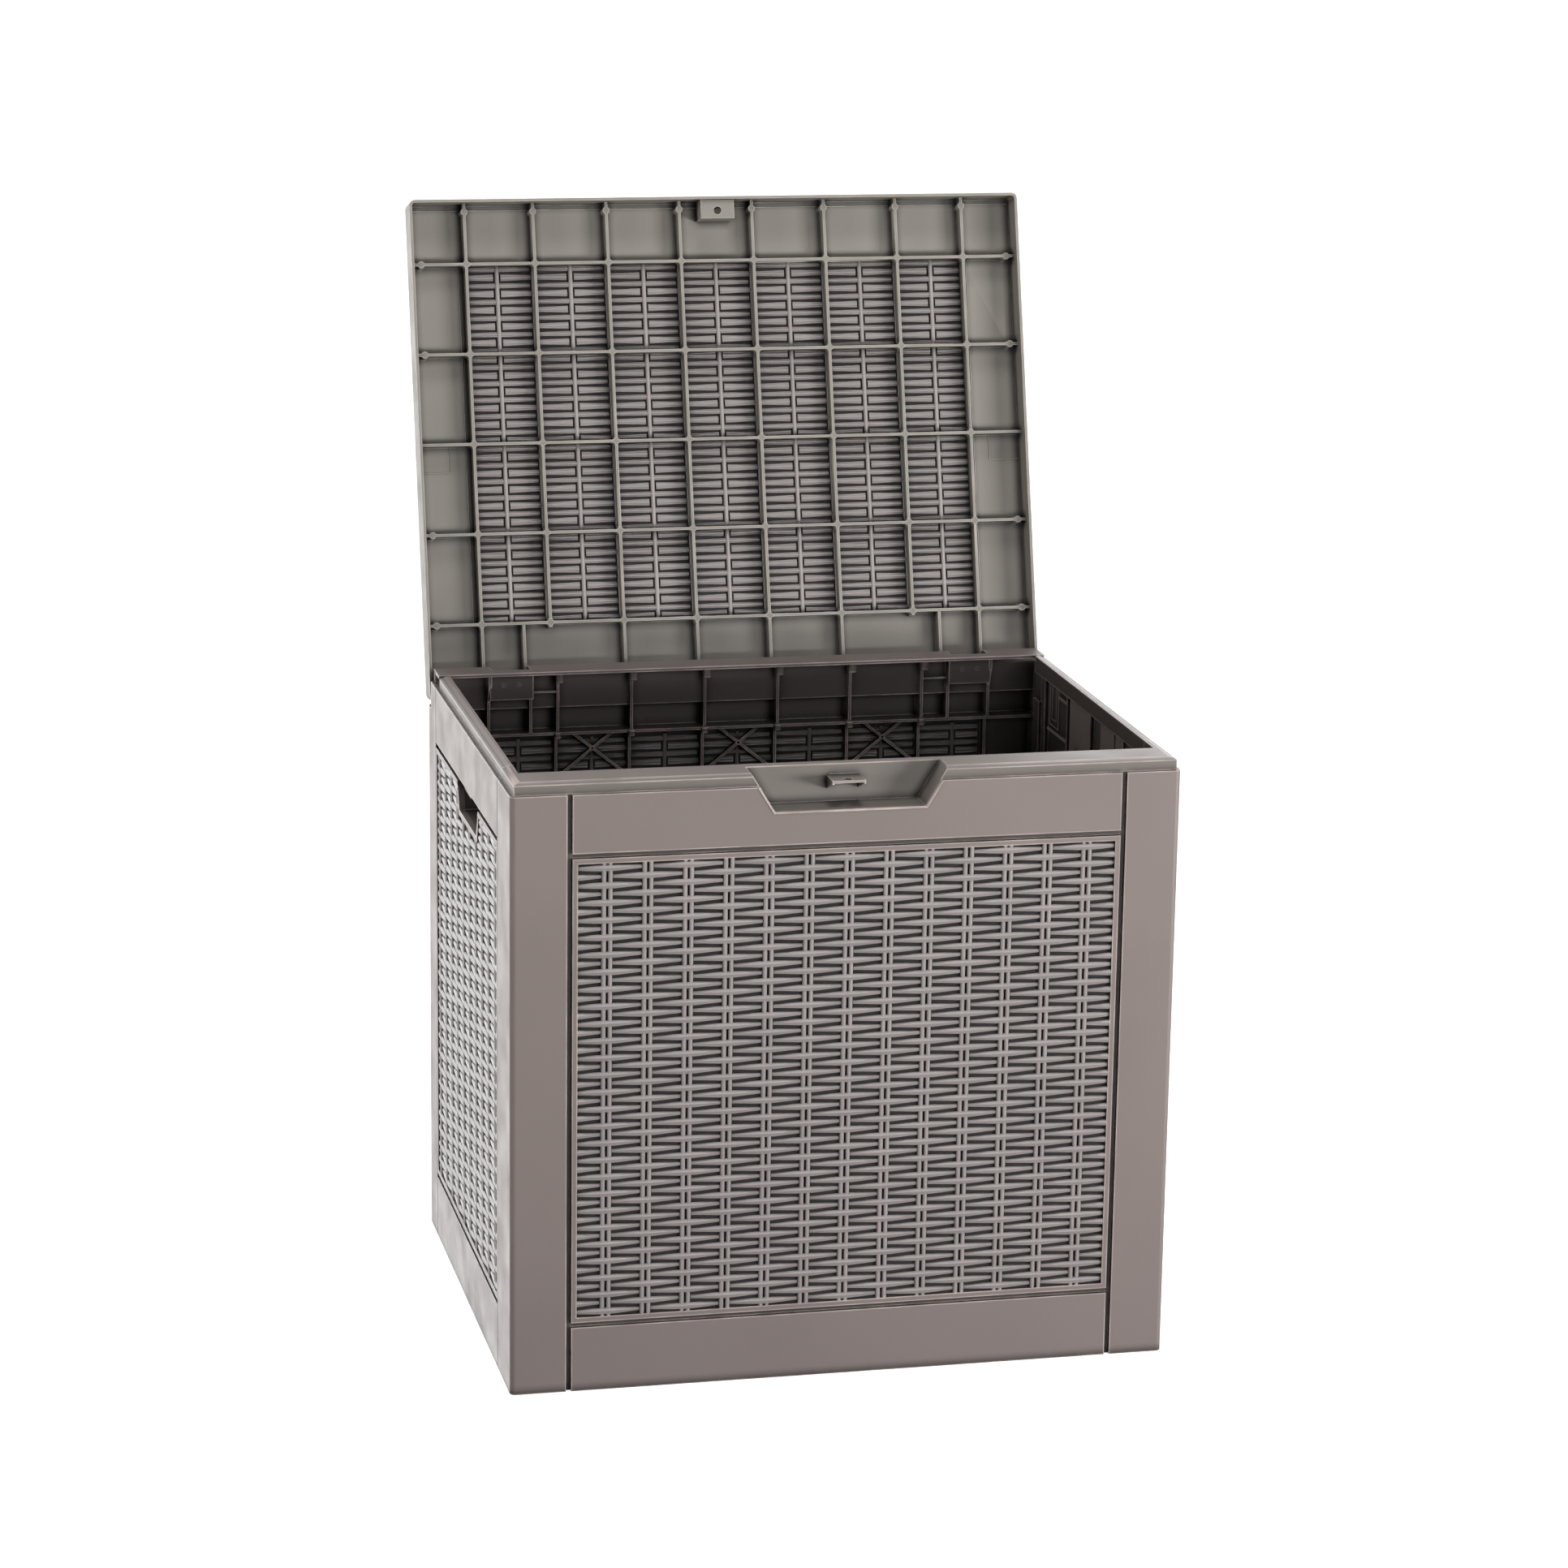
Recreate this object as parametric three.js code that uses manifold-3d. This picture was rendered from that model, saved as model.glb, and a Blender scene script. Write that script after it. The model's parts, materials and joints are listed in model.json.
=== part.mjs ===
// Resin deck storage box: four snap-together wall panels, a floor panel and a hinged lid.
// Millimetres, +Z up. Origin at the middle of the footprint, on the ground; the front faces -Y.
// The lid is drawn closed and then turned open about its hinge pins, which is how the box rests.
import * as THREE from 'three';
import { mergeVertices } from 'three/addons/utils/BufferGeometryUtils.js';
import Module from 'manifold-3d';

const wasm = await Module();
wasm.setup();

// ---- driving dimensions ----
const boxWidth = 560;
const boxDepth = 444;
const boardTop = 508;
const rimHeight = 10.5;
const lidHeight = 28;
const openAngle = 105.3;

// walls
const wall = 6;
const skin = 3;
const cornerRadius = 5;
const cornerSteps = 5;
const gap = 0.3;

// boards, grooves and woven fields
const postWidth = 46.5;
const groove = 4.2;
const grooveDepth = 3.5;
const upperBoard = 49;
const lowerBoard = 55.4;
const frameWidth = 4.5;
const weaveDepth = 3.5;
const frontWrap = 65;
const rearWrap = 44;
const tongueLength = 14;

// rim round the mouth
const rimSetback = 3.3;
const rimBevel = 6;
const rimBevelDrop = 2.2;
const frontRimWidth = 35;
const sideRimWidth = 9.5;
const rimApron = 28;
const sideRimApron = 4;

// stiffening ribs
const ribs = 8;
const outerRibInset = 50.55;
const outerRibPitch = 62.2;
const ribThickness = 2.5;
const wallRibDepth = 8;
const ribStep = 14;
const ribFoot = 30;
const sideRibs = 5;
const sideRibInset = 24;

// front latch recess and padlock eye
const recessHalfFloor = 63;
const recessDrop = 21;
const recessDepth = 29;
const recessFlare = 0.6;
const eyeWidth = 28;
const eyeReach = 22;
const eyeThickness = 2;
const eyeTopRise = 1;
const eyeTongueInset = 3;
const cheekHeight = 9;
const cheekThickness = 1.6;
const lockHoleRadius = 3.5;
const lockHoleInset = 12.5;
const lockTabWidth = 31;
const lockTabDepth = 17;
const lockTabDrop = 2.3;
const lockTabWall = 2;
const lockTabPlate = 2.5;
const tabWindowInset = 4;
const tabWindowBorder = 3;

// finger pockets in the sides
const handleTopWidth = 112;
const handleBottomWidth = 90;
const handleHeight = 24;
const handleDepth = 26;

// rear hood and hinges
const hoodReach = 37.7;
const hoodGap = 4;
const noseRadius = 9;
const axisInset = 13.3;
const axisDrop = 2.7;
const shoulderDrop = 24;
const upstandInset = 15.5;
const pocketWidth = 34;
const pocketWall = 2.5;
const pocketDrop = 2;
const screwHeadRoom = 3;
const pinRadius = 2.5;
const knuckleRadius = 6;
const earThickness = 4;
const bracketBase = 3;
const leafArm = 5.4;
const leafPlate = 3;
const screwHeadRadius = 3;
const screwHeadHeight = 1.6;
const screwShankRadius = 1.4;
const screwSpacing = 14;
const screwBite = 2;
const leafScrewOffset = 6.2;

// lid
const lidSkirt = 2.5;
const lidPlate = 3.5;
const lidWeaveDepth = 2.2;
const lidRibClearance = 0.5;
const lidRowCount = 5;
const lidRearBorder = 65;
const lidFrontBorder = 56.6;
const bossRadius = 3.2;
const bossInset = 10;

// floor
const floorTop = 17;
const floorPlate = 3;
const floorLedge = 6;
const floorPad = 40;
const floorRibs = 7;
const floorRibThickness = 3;
const floorClearance = 0.8;
const floorRibInset = 7.3;

// ---- places worked out from the driving dimensions ----
const halfWidth = boxWidth / 2;
const halfDepth = boxDepth / 2;
const rimTop = boardTop + rimHeight;
const rimX = halfWidth - rimSetback;
const rimFront = -halfDepth + rimSetback;
const seamFront = -halfDepth + frontWrap;
const seamRear = halfDepth - rearWrap;
const fieldX = halfWidth - postWidth - groove;
const fieldTop = boardTop - upperBoard - groove;
const fieldBottom = lowerBoard + groove;
const axisY = halfDepth - axisInset;
const axisZ = boardTop - axisDrop;
const shoulderZ = boardTop - shoulderDrop;
const upstandY = halfDepth - upstandInset;
const hoodFront = axisY + noseRadius - hoodReach + 1;
const mouthFront = rimFront + frontRimWidth;
const mouthX = rimX - sideRimWidth;
const recessFloor = boardTop - recessDrop;
const recessBack = -halfDepth + recessDepth;
const lockY = -halfDepth + lockHoleInset;
const lidBottom = boardTop + gap;
const lidTop = boardTop + lidHeight;
const lidUnder = lidTop - lidPlate;
const lidRibBottom = rimTop + lidRibClearance;
const outerRibX = halfWidth - outerRibInset;
const ribPitch = (2 * (outerRibX - outerRibPitch)) / (ribs - 3);
const ribX = Array.from({ length: ribs }, (_, i) => {
  const at = (i - (ribs - 1) / 2) * ribPitch;
  return i === 0 || i === ribs - 1 ? Math.sign(at) * outerRibX : at;
});
const hingeCentre = outerRibX - pocketWall - pocketWidth / 2;
const hingeRibX = hingeCentre - pocketWidth / 2 - pocketWall / 2;
const pocketFront = axisY - knuckleRadius - screwHeadHeight - bracketBase - screwHeadRoom - 3 * gap;
const pocketFloor = axisZ - noseRadius - pocketDrop;
const leafScrewY = axisY + leafScrewOffset;
const lidRowPitch = (boxDepth - lidRearBorder - lidFrontBorder) / (lidRowCount - 1);
const lidRows = Array.from({ length: lidRowCount }, (_, i) => halfDepth - lidRearBorder - i * lidRowPitch);
const lockTabFloor = boardTop + lockTabDrop;
const floorUnder = floorTop - floorPlate;
const ledgeTop = floorUnder - gap;
const ledgeBottom = ledgeTop - skin;

// ---- materials ----
const paint = (color, roughness, metalness) =>
  new THREE.MeshStandardMaterial({ color, roughness, metalness });
const resin = () => paint(0x8b807a, 0.55, 0);
const steel = () => paint(0x9a9a9c, 0.35, 0.9);

// ---- solids ----
function solid(geometry) {
  geometry.deleteAttribute('normal');
  geometry.deleteAttribute('uv');
  const merged = mergeVertices(geometry, 1e-5);
  return new wasm.Manifold(new wasm.Mesh({
    numProp: 3,
    vertProperties: new Float32Array(merged.attributes.position.array),
    triVerts: new Uint32Array(merged.index.array),
  }));
}

// A block between two X, two Y and two Z values; the two X values may come in either order.
function box(x0, x1, y0, y1, z0, z1) {
  const geometry = new THREE.BoxGeometry(Math.abs(x1 - x0), y1 - y0, z1 - z0);
  geometry.translate((x0 + x1) / 2, (y0 + y1) / 2, (z0 + z1) / 2);
  return solid(geometry);
}

// An outline in XY pushed up from z0 to z1.
function slab(outline, z0, z1) {
  const shape = new THREE.Shape(outline.map(([x, y]) => new THREE.Vector2(x, y)));
  const geometry = new THREE.ExtrudeGeometry(shape, { depth: z1 - z0, bevelEnabled: false });
  geometry.translate(0, 0, z0);
  return solid(geometry);
}

// An outline in XZ pushed along Y from y0 to y1.
function alongY(outline, y0, y1) {
  const shape = new THREE.Shape(outline.map(([x, z]) => new THREE.Vector2(x, z)));
  const geometry = new THREE.ExtrudeGeometry(shape, { depth: y1 - y0, bevelEnabled: false });
  geometry.rotateX(Math.PI / 2);
  geometry.translate(0, y1, 0);
  return solid(geometry);
}

// An outline in YZ pushed along X from x0 to x1.
function alongX(outline, x0, x1) {
  const shape = new THREE.Shape(outline.map(([y, z]) => new THREE.Vector2(y, z)));
  const geometry = new THREE.ExtrudeGeometry(shape, { depth: x1 - x0, bevelEnabled: false });
  geometry.rotateY(Math.PI / 2);
  geometry.rotateX(Math.PI / 2);
  geometry.translate(x0, 0, 0);
  return solid(geometry);
}

// A round bar between two heights along one axis: 'x', 'y' or 'z'.
function bar(axis, radius, from, to, centre, sides = 20) {
  const geometry = new THREE.CylinderGeometry(radius, radius, to - from, sides);
  if (axis === 'x') geometry.rotateZ(Math.PI / 2);
  if (axis === 'z') geometry.rotateX(Math.PI / 2);
  const middle = (from + to) / 2;
  const [a, b] = centre;
  if (axis === 'x') geometry.translate(middle, a, b);
  if (axis === 'y') geometry.translate(a, middle, b);
  if (axis === 'z') geometry.translate(a, b, middle);
  return solid(geometry);
}

const join = (first, ...rest) => rest.reduce((sum, next) => sum.add(next), first);
const cut = (first, ...rest) => rest.reduce((left, next) => left.subtract(next), first);

function arc(cx, cy, radius, start, end, steps) {
  const points = [];
  for (let i = 0; i <= steps; i += 1) {
    const angle = THREE.MathUtils.degToRad(start + ((end - start) * i) / steps);
    points.push([cx + radius * Math.cos(angle), cy + radius * Math.sin(angle)]);
  }
  return points;
}

function roundedPlan(x, y, radius) {
  return [
    ...arc(x - radius, y - radius, radius, 0, 90, cornerSteps),
    ...arc(-x + radius, y - radius, radius, 90, 180, cornerSteps),
    ...arc(-x + radius, -y + radius, radius, 180, 270, cornerSteps),
    ...arc(x - radius, -y + radius, radius, 270, 360, cornerSteps),
  ];
}

// A named mesh from a solid; side = -1 gives the mirror image, for the left of a pair.
function node(name, shape, material, side = 1) {
  const { vertProperties, triVerts } = shape.getMesh();
  const positions = Float32Array.from(vertProperties);
  const faces = Uint32Array.from(triVerts);
  if (side < 0) {
    for (let i = 0; i < positions.length; i += 3) positions[i] *= -1;
    faces.reverse();
  }
  const geometry = new THREE.BufferGeometry();
  geometry.setAttribute('position', new THREE.BufferAttribute(positions, 3));
  geometry.setIndex(new THREE.BufferAttribute(faces, 1));
  geometry.computeVertexNormals();
  const mesh = new THREE.Mesh(geometry, material);
  mesh.name = name;
  return mesh;
}

// ---- wall shell shared by the front and the back: a face with two wraps round the corners ----
// The footprint ring between the outside and the wall's inner face, kept only past the seam.
function wallRing(z0, z1) {
  const outside = slab(roundedPlan(halfWidth, halfDepth, cornerRadius), z0, z1);
  const x = halfWidth - wall;
  const y = halfDepth - wall;
  const inside = box(-x, x, -y, y, z0 - 1, z1 + 1);
  return cut(outside, inside);
}

// Grooves and the sunk woven field of a face drawn at the front; side = +1 turns it to the back.
function faceCuts(side) {
  const y0 = side < 0 ? -halfDepth - 1 : halfDepth - grooveDepth;
  const y1 = side < 0 ? -halfDepth + grooveDepth : halfDepth + 1;
  const sunk = side < 0 ? [y0, -halfDepth + weaveDepth] : [halfDepth - weaveDepth, y1];
  const inner = fieldX - frameWidth;
  return [
    box(-fieldX - groove, -fieldX, y0, y1, -1, boardTop + (side < 0 ? gap : -shoulderDrop + 1)),
    box(fieldX, fieldX + groove, y0, y1, -1, boardTop + (side < 0 ? gap : -shoulderDrop + 1)),
    box(-fieldX, fieldX, y0, y1, fieldTop, fieldTop + groove),
    box(-fieldX, fieldX, y0, y1, lowerBoard, fieldBottom),
    box(-inner, inner, sunk[0], sunk[1], fieldBottom + frameWidth, fieldTop - frameWidth),
  ];
}

// Vertical and horizontal stiffeners on the inside of a long wall between z0 and z1.
function wallRibs(inner, reach, z0, z1, levels) {
  const near = Math.min(inner, reach);
  const far = Math.max(inner, reach);
  const uprights = ribX.map((x) => box(x - ribThickness / 2, x + ribThickness / 2, near, far, z0, z1));
  const span = halfWidth - wall;
  return uprights.concat(levels.map((z) => box(-span, span, near, far, z - ribThickness, z)));
}

// ---- front panel ----
const recessOutline = (grow) => {
  const z0 = recessFloor - grow;
  const half = recessHalfFloor + grow;
  const z1 = rimTop + (grow > 0 ? 0 : 1);
  const topHalf = half + (z1 - z0) * recessFlare;
  return [[-half, z0], [half, z0], [topHalf, z1], [-topHalf, z1]];
};

function frontPanel() {
  const frontPart = box(-halfWidth, halfWidth, -halfDepth - 1, seamFront, -1, rimTop);
  const shell = wallRing(0, boardTop).intersect(frontPart);
  const rim = join(
    box(-rimX, rimX, rimFront, mouthFront, rimTop - skin, rimTop),
    box(-rimX, rimX, rimFront, rimFront + skin, boardTop - skin, rimTop),
    box(-mouthX, mouthX, mouthFront - skin, mouthFront, boardTop - rimApron, rimTop),
    box(-rimX, -mouthX, rimFront, seamFront, boardTop - skin, rimTop),
    box(mouthX, rimX, rimFront, seamFront, boardTop - skin, rimTop),
  );
  const bevels = [
    alongX([[rimFront - 1, rimTop - rimBevelDrop * (1 + 1 / rimBevel)], [rimFront - 1, rimTop + 1],
      [rimFront + rimBevel, rimTop + 1], [rimFront + rimBevel, rimTop]], -halfWidth, halfWidth),
    ...sideBevels(-halfDepth, seamFront),
  ];
  const ledge = box(-halfWidth + wall, halfWidth - wall, -halfDepth + wall, -halfDepth + wall + floorLedge,
    ledgeBottom, ledgeTop);
  const tongueHalf = eyeWidth / 2 - eyeTongueInset;
  const slot = box(-tongueHalf - gap, tongueHalf + gap, recessBack - 1, recessBack + skin + 1,
    boardTop + eyeTopRise - eyeThickness - gap, boardTop + eyeTopRise + gap);
  const recessWalls = cut(alongY(recessOutline(skin), -halfDepth, recessBack + skin),
    box(-halfWidth, halfWidth, -halfDepth - 1, rimFront, boardTop, rimTop + 1));
  return cut(
    join(shell, rim, ledge, recessWalls,
      ...wallRibs(-halfDepth + wall, -halfDepth + wall + wallRibDepth, floorTop + gap, recessFloor - skin,
        [fieldTop, fieldBottom])),
    ...bevels, ...faceCuts(-1), alongY(recessOutline(0), -halfDepth - 1, recessBack), slot,
  );
}

// Sloping outer edge of the two side rims between y0 and y1.
function sideBevels(y0, y1) {
  const drop = rimTop - rimBevelDrop * (1 + 1 / rimBevel);
  const above = rimTop + 1;
  const section = [[rimX - rimBevel, rimTop], [rimX + 1, drop], [rimX + 1, above], [rimX - rimBevel, above]];
  const mirrored = section.map(([x, z]) => [-x, z]).reverse();
  return [alongY(section, y0, y1), alongY(mirrored, y0, y1)];
}

// Padlock eye: a shelf with a hole, two cheeks under it and a tongue through the recess wall.
function lockEye() {
  const top = boardTop + eyeTopRise;
  const under = top - eyeThickness;
  const back = recessBack - gap;
  const front = recessBack - eyeReach;
  const half = eyeWidth / 2;
  const tongueHalf = half - eyeTongueInset;
  const cheek = [[back, under - cheekHeight], [back, top], [front, top], [front, under - 1]];
  return cut(
    join(box(-half, half, front, back, under, top),
      box(-tongueHalf, tongueHalf, back - 1, recessBack + skin - gap, under, top),
      alongX(cheek, -half, -half + cheekThickness), alongX(cheek, half - cheekThickness, half)),
    bar('z', lockHoleRadius, under - 1, top + 1, [0, lockY]),
  );
}

// ---- back panel ----
// Section of the hood over the hinges: a flat shelf rolled over round the hinge axis.
function hoodOutline() {
  return [
    [hoodFront, rimTop - skin],
    [hoodFront, rimTop],
    [axisY, rimTop],
    ...arc(axisY, rimTop - noseRadius, noseRadius, 80, 0, 6),
    ...arc(axisY, axisZ, noseRadius, 0, -90, 6),
    [upstandY, axisZ - noseRadius],
    [upstandY, shoulderZ - skin],
    [upstandY - skin, shoulderZ - skin],
    [upstandY - skin, rimTop - skin],
  ].filter(([y, z], i, all) => i === 0 || Math.hypot(y - all[i - 1][0], z - all[i - 1][1]) > 0.01);
}

function hingePocket(side) {
  const x0 = side * (hingeCentre - pocketWidth / 2);
  const x1 = side * (hingeCentre + pocketWidth / 2);
  const grow = side * pocketWall;
  const block = box(x0 - grow, x1 + grow, pocketFront - skin, upstandY, pocketFloor - pocketWall, rimTop - 1);
  const hollow = box(x0, x1, pocketFront, halfDepth, pocketFloor, rimTop + 1);
  const holes = [-1, 1].map((k) => bar('y', screwShankRadius + gap, pocketFront - screwBite - gap, pocketFront + 1,
    [side * hingeCentre + (k * screwSpacing) / 2, axisZ], 12));
  return { block, hollow, holes };
}

function backPanel() {
  const inner = halfDepth - wall;
  const shell = cut(
    wallRing(0, boardTop).intersect(box(-halfWidth, halfWidth, seamRear, halfDepth + 1, -1, rimTop)),
    box(-halfWidth - 1, halfWidth + 1, upstandY, halfDepth + 1, shoulderZ, rimTop + 1),
  );
  const hood = alongX(hoodOutline(), -rimX, rimX);
  const shoulder = box(-halfWidth + 1, halfWidth - 1, upstandY - skin, halfDepth - 1,
    shoulderZ - skin, shoulderZ);
  const shelfZ = boardTop - upperBoard;
  const ribFront = upstandY - wallRibDepth;
  const jog = ribFront - wallRibDepth;
  const profile = [[inner, shelfZ - ribThickness], [inner, shoulderZ - 1], [upstandY - 1, shoulderZ - 1],
    [upstandY - 1, rimTop - skin / 2], [jog, rimTop - skin / 2], [jog, rimTop - ribStep],
    [ribFront, rimTop - ribFoot],
    [ribFront, shelfZ - ribThickness]];
  const straight = [[inner, shelfZ - ribThickness], [inner, shoulderZ - 1], [upstandY - 1, shoulderZ - 1],
    [upstandY - 1, rimTop - skin / 2], [ribFront, rimTop - skin / 2],
    [ribFront, shelfZ - ribThickness]];
  const upperRibs = ribX.map((x) => alongX(Math.abs(x) === outerRibX ? profile : straight,
    x - ribThickness / 2, x + ribThickness / 2));
  const hingeRibs = [-1, 1].map((s) => alongX(straight, s * hingeRibX - ribThickness / 2,
    s * hingeRibX + ribThickness / 2));
  const shelf = box(-halfWidth + wall, halfWidth - wall, ribFront, inner, shelfZ - ribThickness, shelfZ);
  const ledge = box(-halfWidth + wall, halfWidth - wall, inner - floorLedge, inner,
    ledgeBottom, ledgeTop);
  const pockets = [-1, 1].map(hingePocket);
  return cut(
    join(shell, hood, shoulder, shelf, ledge, ...upperRibs, ...hingeRibs,
      ...wallRibs(inner, inner - wallRibDepth, floorTop + gap, shelfZ, [fieldBottom]),
      ...pockets.map((p) => p.block)),
    ...faceCuts(1), ...pockets.map((p) => p.hollow), ...pockets.flatMap((p) => p.holes),
  );
}

// ---- side panels, drawn on the +X side ----
const handleTop = fieldTop;
const handleOutline = (grow) => [
  [-handleBottomWidth / 2 - grow, handleTop - handleHeight - grow],
  [handleBottomWidth / 2 + grow, handleTop - handleHeight - grow],
  [handleTopWidth / 2 + grow, handleTop + (grow > 0 ? grow : 0)],
  [-handleTopWidth / 2 - grow, handleTop + (grow > 0 ? grow : 0)],
];

function sidePanel() {
  const inner = halfWidth - wall;
  const y0 = seamFront + gap;
  const y1 = seamRear - gap;
  const face = box(inner, halfWidth, y0, y1, 0, boardTop);
  const tongues = [
    box(inner - gap - skin, inner - gap, y0 - tongueLength, y0 + skin, floorTop, boardTop - rimApron),
    box(inner - gap - skin, inner - gap, y1 - skin, y1 + tongueLength, floorTop, boardTop - rimApron - skin),
    box(inner - gap - skin, inner + skin, y0, y0 + skin, floorTop, boardTop - rimApron),
    box(inner - gap - skin, inner + skin, y1 - skin, y1, floorTop, boardTop - rimApron - skin),
  ];
  const rimEnd = Math.min(y1, hoodFront - hoodGap);
  const rim = cut(
    join(box(mouthX, rimX, y0, rimEnd, rimTop - skin, rimTop),
      box(rimX - skin, rimX, y0, rimEnd, boardTop - skin, rimTop),
      box(mouthX, mouthX + skin, y0, rimEnd, boardTop - sideRimApron, rimTop),
      box(mouthX, inner + skin, y0, rimEnd, boardTop - skin, boardTop)),
    ...sideBevels(y0 - 1, rimEnd + 1),
  );
  const cup = alongX(handleOutline(skin), halfWidth - handleDepth - skin, halfWidth - skin);
  const hollow = alongX(handleOutline(0), halfWidth - handleDepth, halfWidth + 1);
  const stiffeners = [];
  for (let i = 0; i < sideRibs; i += 1) {
    const y = y0 + sideRibInset + ((y1 - y0 - 2 * sideRibInset) * i) / (sideRibs - 1);
    stiffeners.push(box(mouthX + skin, inner + 1, y - ribThickness / 2, y + ribThickness / 2,
      floorTop + gap, boardTop - skin));
  }
  const ledge = box(inner - floorLedge, inner + 1, y0 + skin, y1 - skin,
    ledgeBottom, ledgeTop);
  const outerCuts = [
    box(halfWidth - grooveDepth, halfWidth + 1, y0 - 1, y1 + 1, fieldTop, fieldTop + groove),
    box(halfWidth - grooveDepth, halfWidth + 1, y0 - 1, y1 + 1, lowerBoard, fieldBottom),
    box(halfWidth - weaveDepth, halfWidth + 1, y0 + frameWidth, y1 - frameWidth,
      fieldBottom + frameWidth, fieldTop - frameWidth),
  ];
  const frame = cut(alongX(handleOutline(frameWidth), halfWidth - wall, halfWidth - gap),
    box(0, halfWidth + 1, -halfDepth, halfDepth, fieldTop, rimTop));
  return cut(join(cut(join(face, ...tongues, rim, ledge, ...stiffeners), ...outerCuts), cup, frame), hollow);
}

// ---- floor panel ----
function floorPanel() {
  const x = halfWidth - wall - floorClearance;
  const y = halfDepth - wall - floorClearance;
  const ribEndX = x - floorRibInset;
  const ribEndY = y - floorRibInset;
  const half = floorRibThickness / 2;
  const parts = [box(-x, x, -y, y, floorUnder, floorTop - gap)];
  for (let i = 0; i < floorRibs; i += 1) {
    const share = (2 * i) / (floorRibs - 1) - 1;
    const cx = share * (ribEndX - half);
    const cy = share * (ribEndY - half);
    parts.push(box(cx - half, cx + half, -ribEndY, ribEndY, 0, floorUnder + 1));
    parts.push(box(-ribEndX, ribEndX, cy - half, cy + half, 0, floorUnder + 1));
  }
  parts.push(box(-floorPad / 2, floorPad / 2, -floorPad / 2, floorPad / 2, 0, floorUnder + 1));
  return join(...parts);
}

// ---- lid, drawn closed ----
function lidShell() {
  const outside = slab(roundedPlan(halfWidth, halfDepth, cornerRadius), lidBottom, lidTop);
  const inside = slab(roundedPlan(halfWidth - lidSkirt, halfDepth - lidSkirt, cornerRadius - lidSkirt),
    lidBottom - 1, lidUnder);
  const reachX = halfWidth - lidSkirt / 2;
  const reachY = halfDepth - lidSkirt / 2;
  const rearRow = lidRows[0];
  const frontRow = lidRows[lidRows.length - 1];
  const parts = [cut(outside, inside)];
  ribX.forEach((x, i) => {
    const stopsAtRow = i === 1 || i === ribs - 2;
    parts.push(box(x - ribThickness / 2, x + ribThickness / 2, -reachY, stopsAtRow ? rearRow : reachY,
      lidRibBottom, lidUnder + 1));
    parts.push(bar('z', bossRadius, lidRibBottom, lidUnder + 1, [x, -halfDepth + bossInset], 12));
  });
  [-1, 1].forEach((s) => parts.push(box(s * hingeRibX - ribThickness / 2, s * hingeRibX + ribThickness / 2,
    rearRow, reachY, lidRibBottom, lidUnder + 1)));
  lidRows.forEach((y, i) => {
    parts.push(box(-reachX, reachX, y - ribThickness / 2, y + ribThickness / 2, lidRibBottom, lidUnder + 1));
    if (i !== (lidRowCount - 1) / 2) {
      [-1, 1].forEach((s) => parts.push(bar('z', bossRadius, lidRibBottom, lidUnder + 1,
        [s * (halfWidth - bossInset), y], 12)));
    }
  });
  const field = box(ribX[0], ribX[ribX.length - 1], frontRow, rearRow, lidTop - lidWeaveDepth, lidTop + 1);
  const half = lockTabWidth / 2;
  const seat = box(-half - gap, half + gap, -halfDepth + lidSkirt, -halfDepth + lidSkirt + lockTabDepth + 2 * gap,
    lidBottom - 1, lidUnder);
  const window = box(-half + tabWindowInset, half - tabWindowInset, -halfDepth - 1, -halfDepth + lidSkirt + 1,
    lockTabFloor + tabWindowBorder, lidUnder - tabWindowBorder);
  const holes = [-1, 1].flatMap((s) => [-1, 1].map((k) => bar('z', screwShankRadius + gap, lidUnder - 1,
    lidUnder + screwBite + gap, [s * hingeCentre + (k * screwSpacing) / 2, leafScrewY], 12)));
  return cut(join(...parts), field, seat, window, ...holes);
}

// Lock tab: a hollow block under the lid's front edge with the padlock hole in its floor.
function lockTab() {
  const half = lockTabWidth / 2;
  const front = -halfDepth + lidSkirt + gap;
  const back = front + lockTabDepth;
  const top = lidUnder - gap;
  return cut(
    box(-half, half, front, back, lockTabFloor, top),
    box(-half + lockTabWall, half - lockTabWall, front - 1, back - lockTabWall,
      lockTabFloor + lockTabPlate, top + 1),
    bar('z', lockHoleRadius, lockTabFloor - 1, lockTabFloor + lockTabPlate + 1, [0, lockY]),
  );
}

// ---- hinges ----
function hingeBracket() {
  const x0 = hingeCentre - pocketWidth / 2 + gap;
  const x1 = hingeCentre + pocketWidth / 2 - gap;
  const back = pocketFront + gap;
  const z0 = pocketFloor + gap;
  const z1 = axisZ + knuckleRadius;
  const ear = (x) => join(
    box(x, x + earThickness, back, axisY, z0, z1),
    bar('x', knuckleRadius, x, x + earThickness, [axisY, axisZ]),
  );
  const bore = bar('x', pinRadius + gap, x0 - 1, x1 + 1, [axisY, axisZ]);
  const holes = [-1, 1].map((k) => bar('y', screwShankRadius + gap, back - 1, back + bracketBase + 1,
    [hingeCentre + (k * screwSpacing) / 2, axisZ], 12));
  const base = box(x0, x1, back, back + bracketBase, z0, z1);
  return cut(join(base, ear(x0), ear(x1 - earThickness)), bore, ...holes);
}

function hingePin() {
  const half = pocketWidth / 2 - gap;
  return bar('x', pinRadius, hingeCentre - half, hingeCentre + half, [axisY, axisZ]);
}

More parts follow.
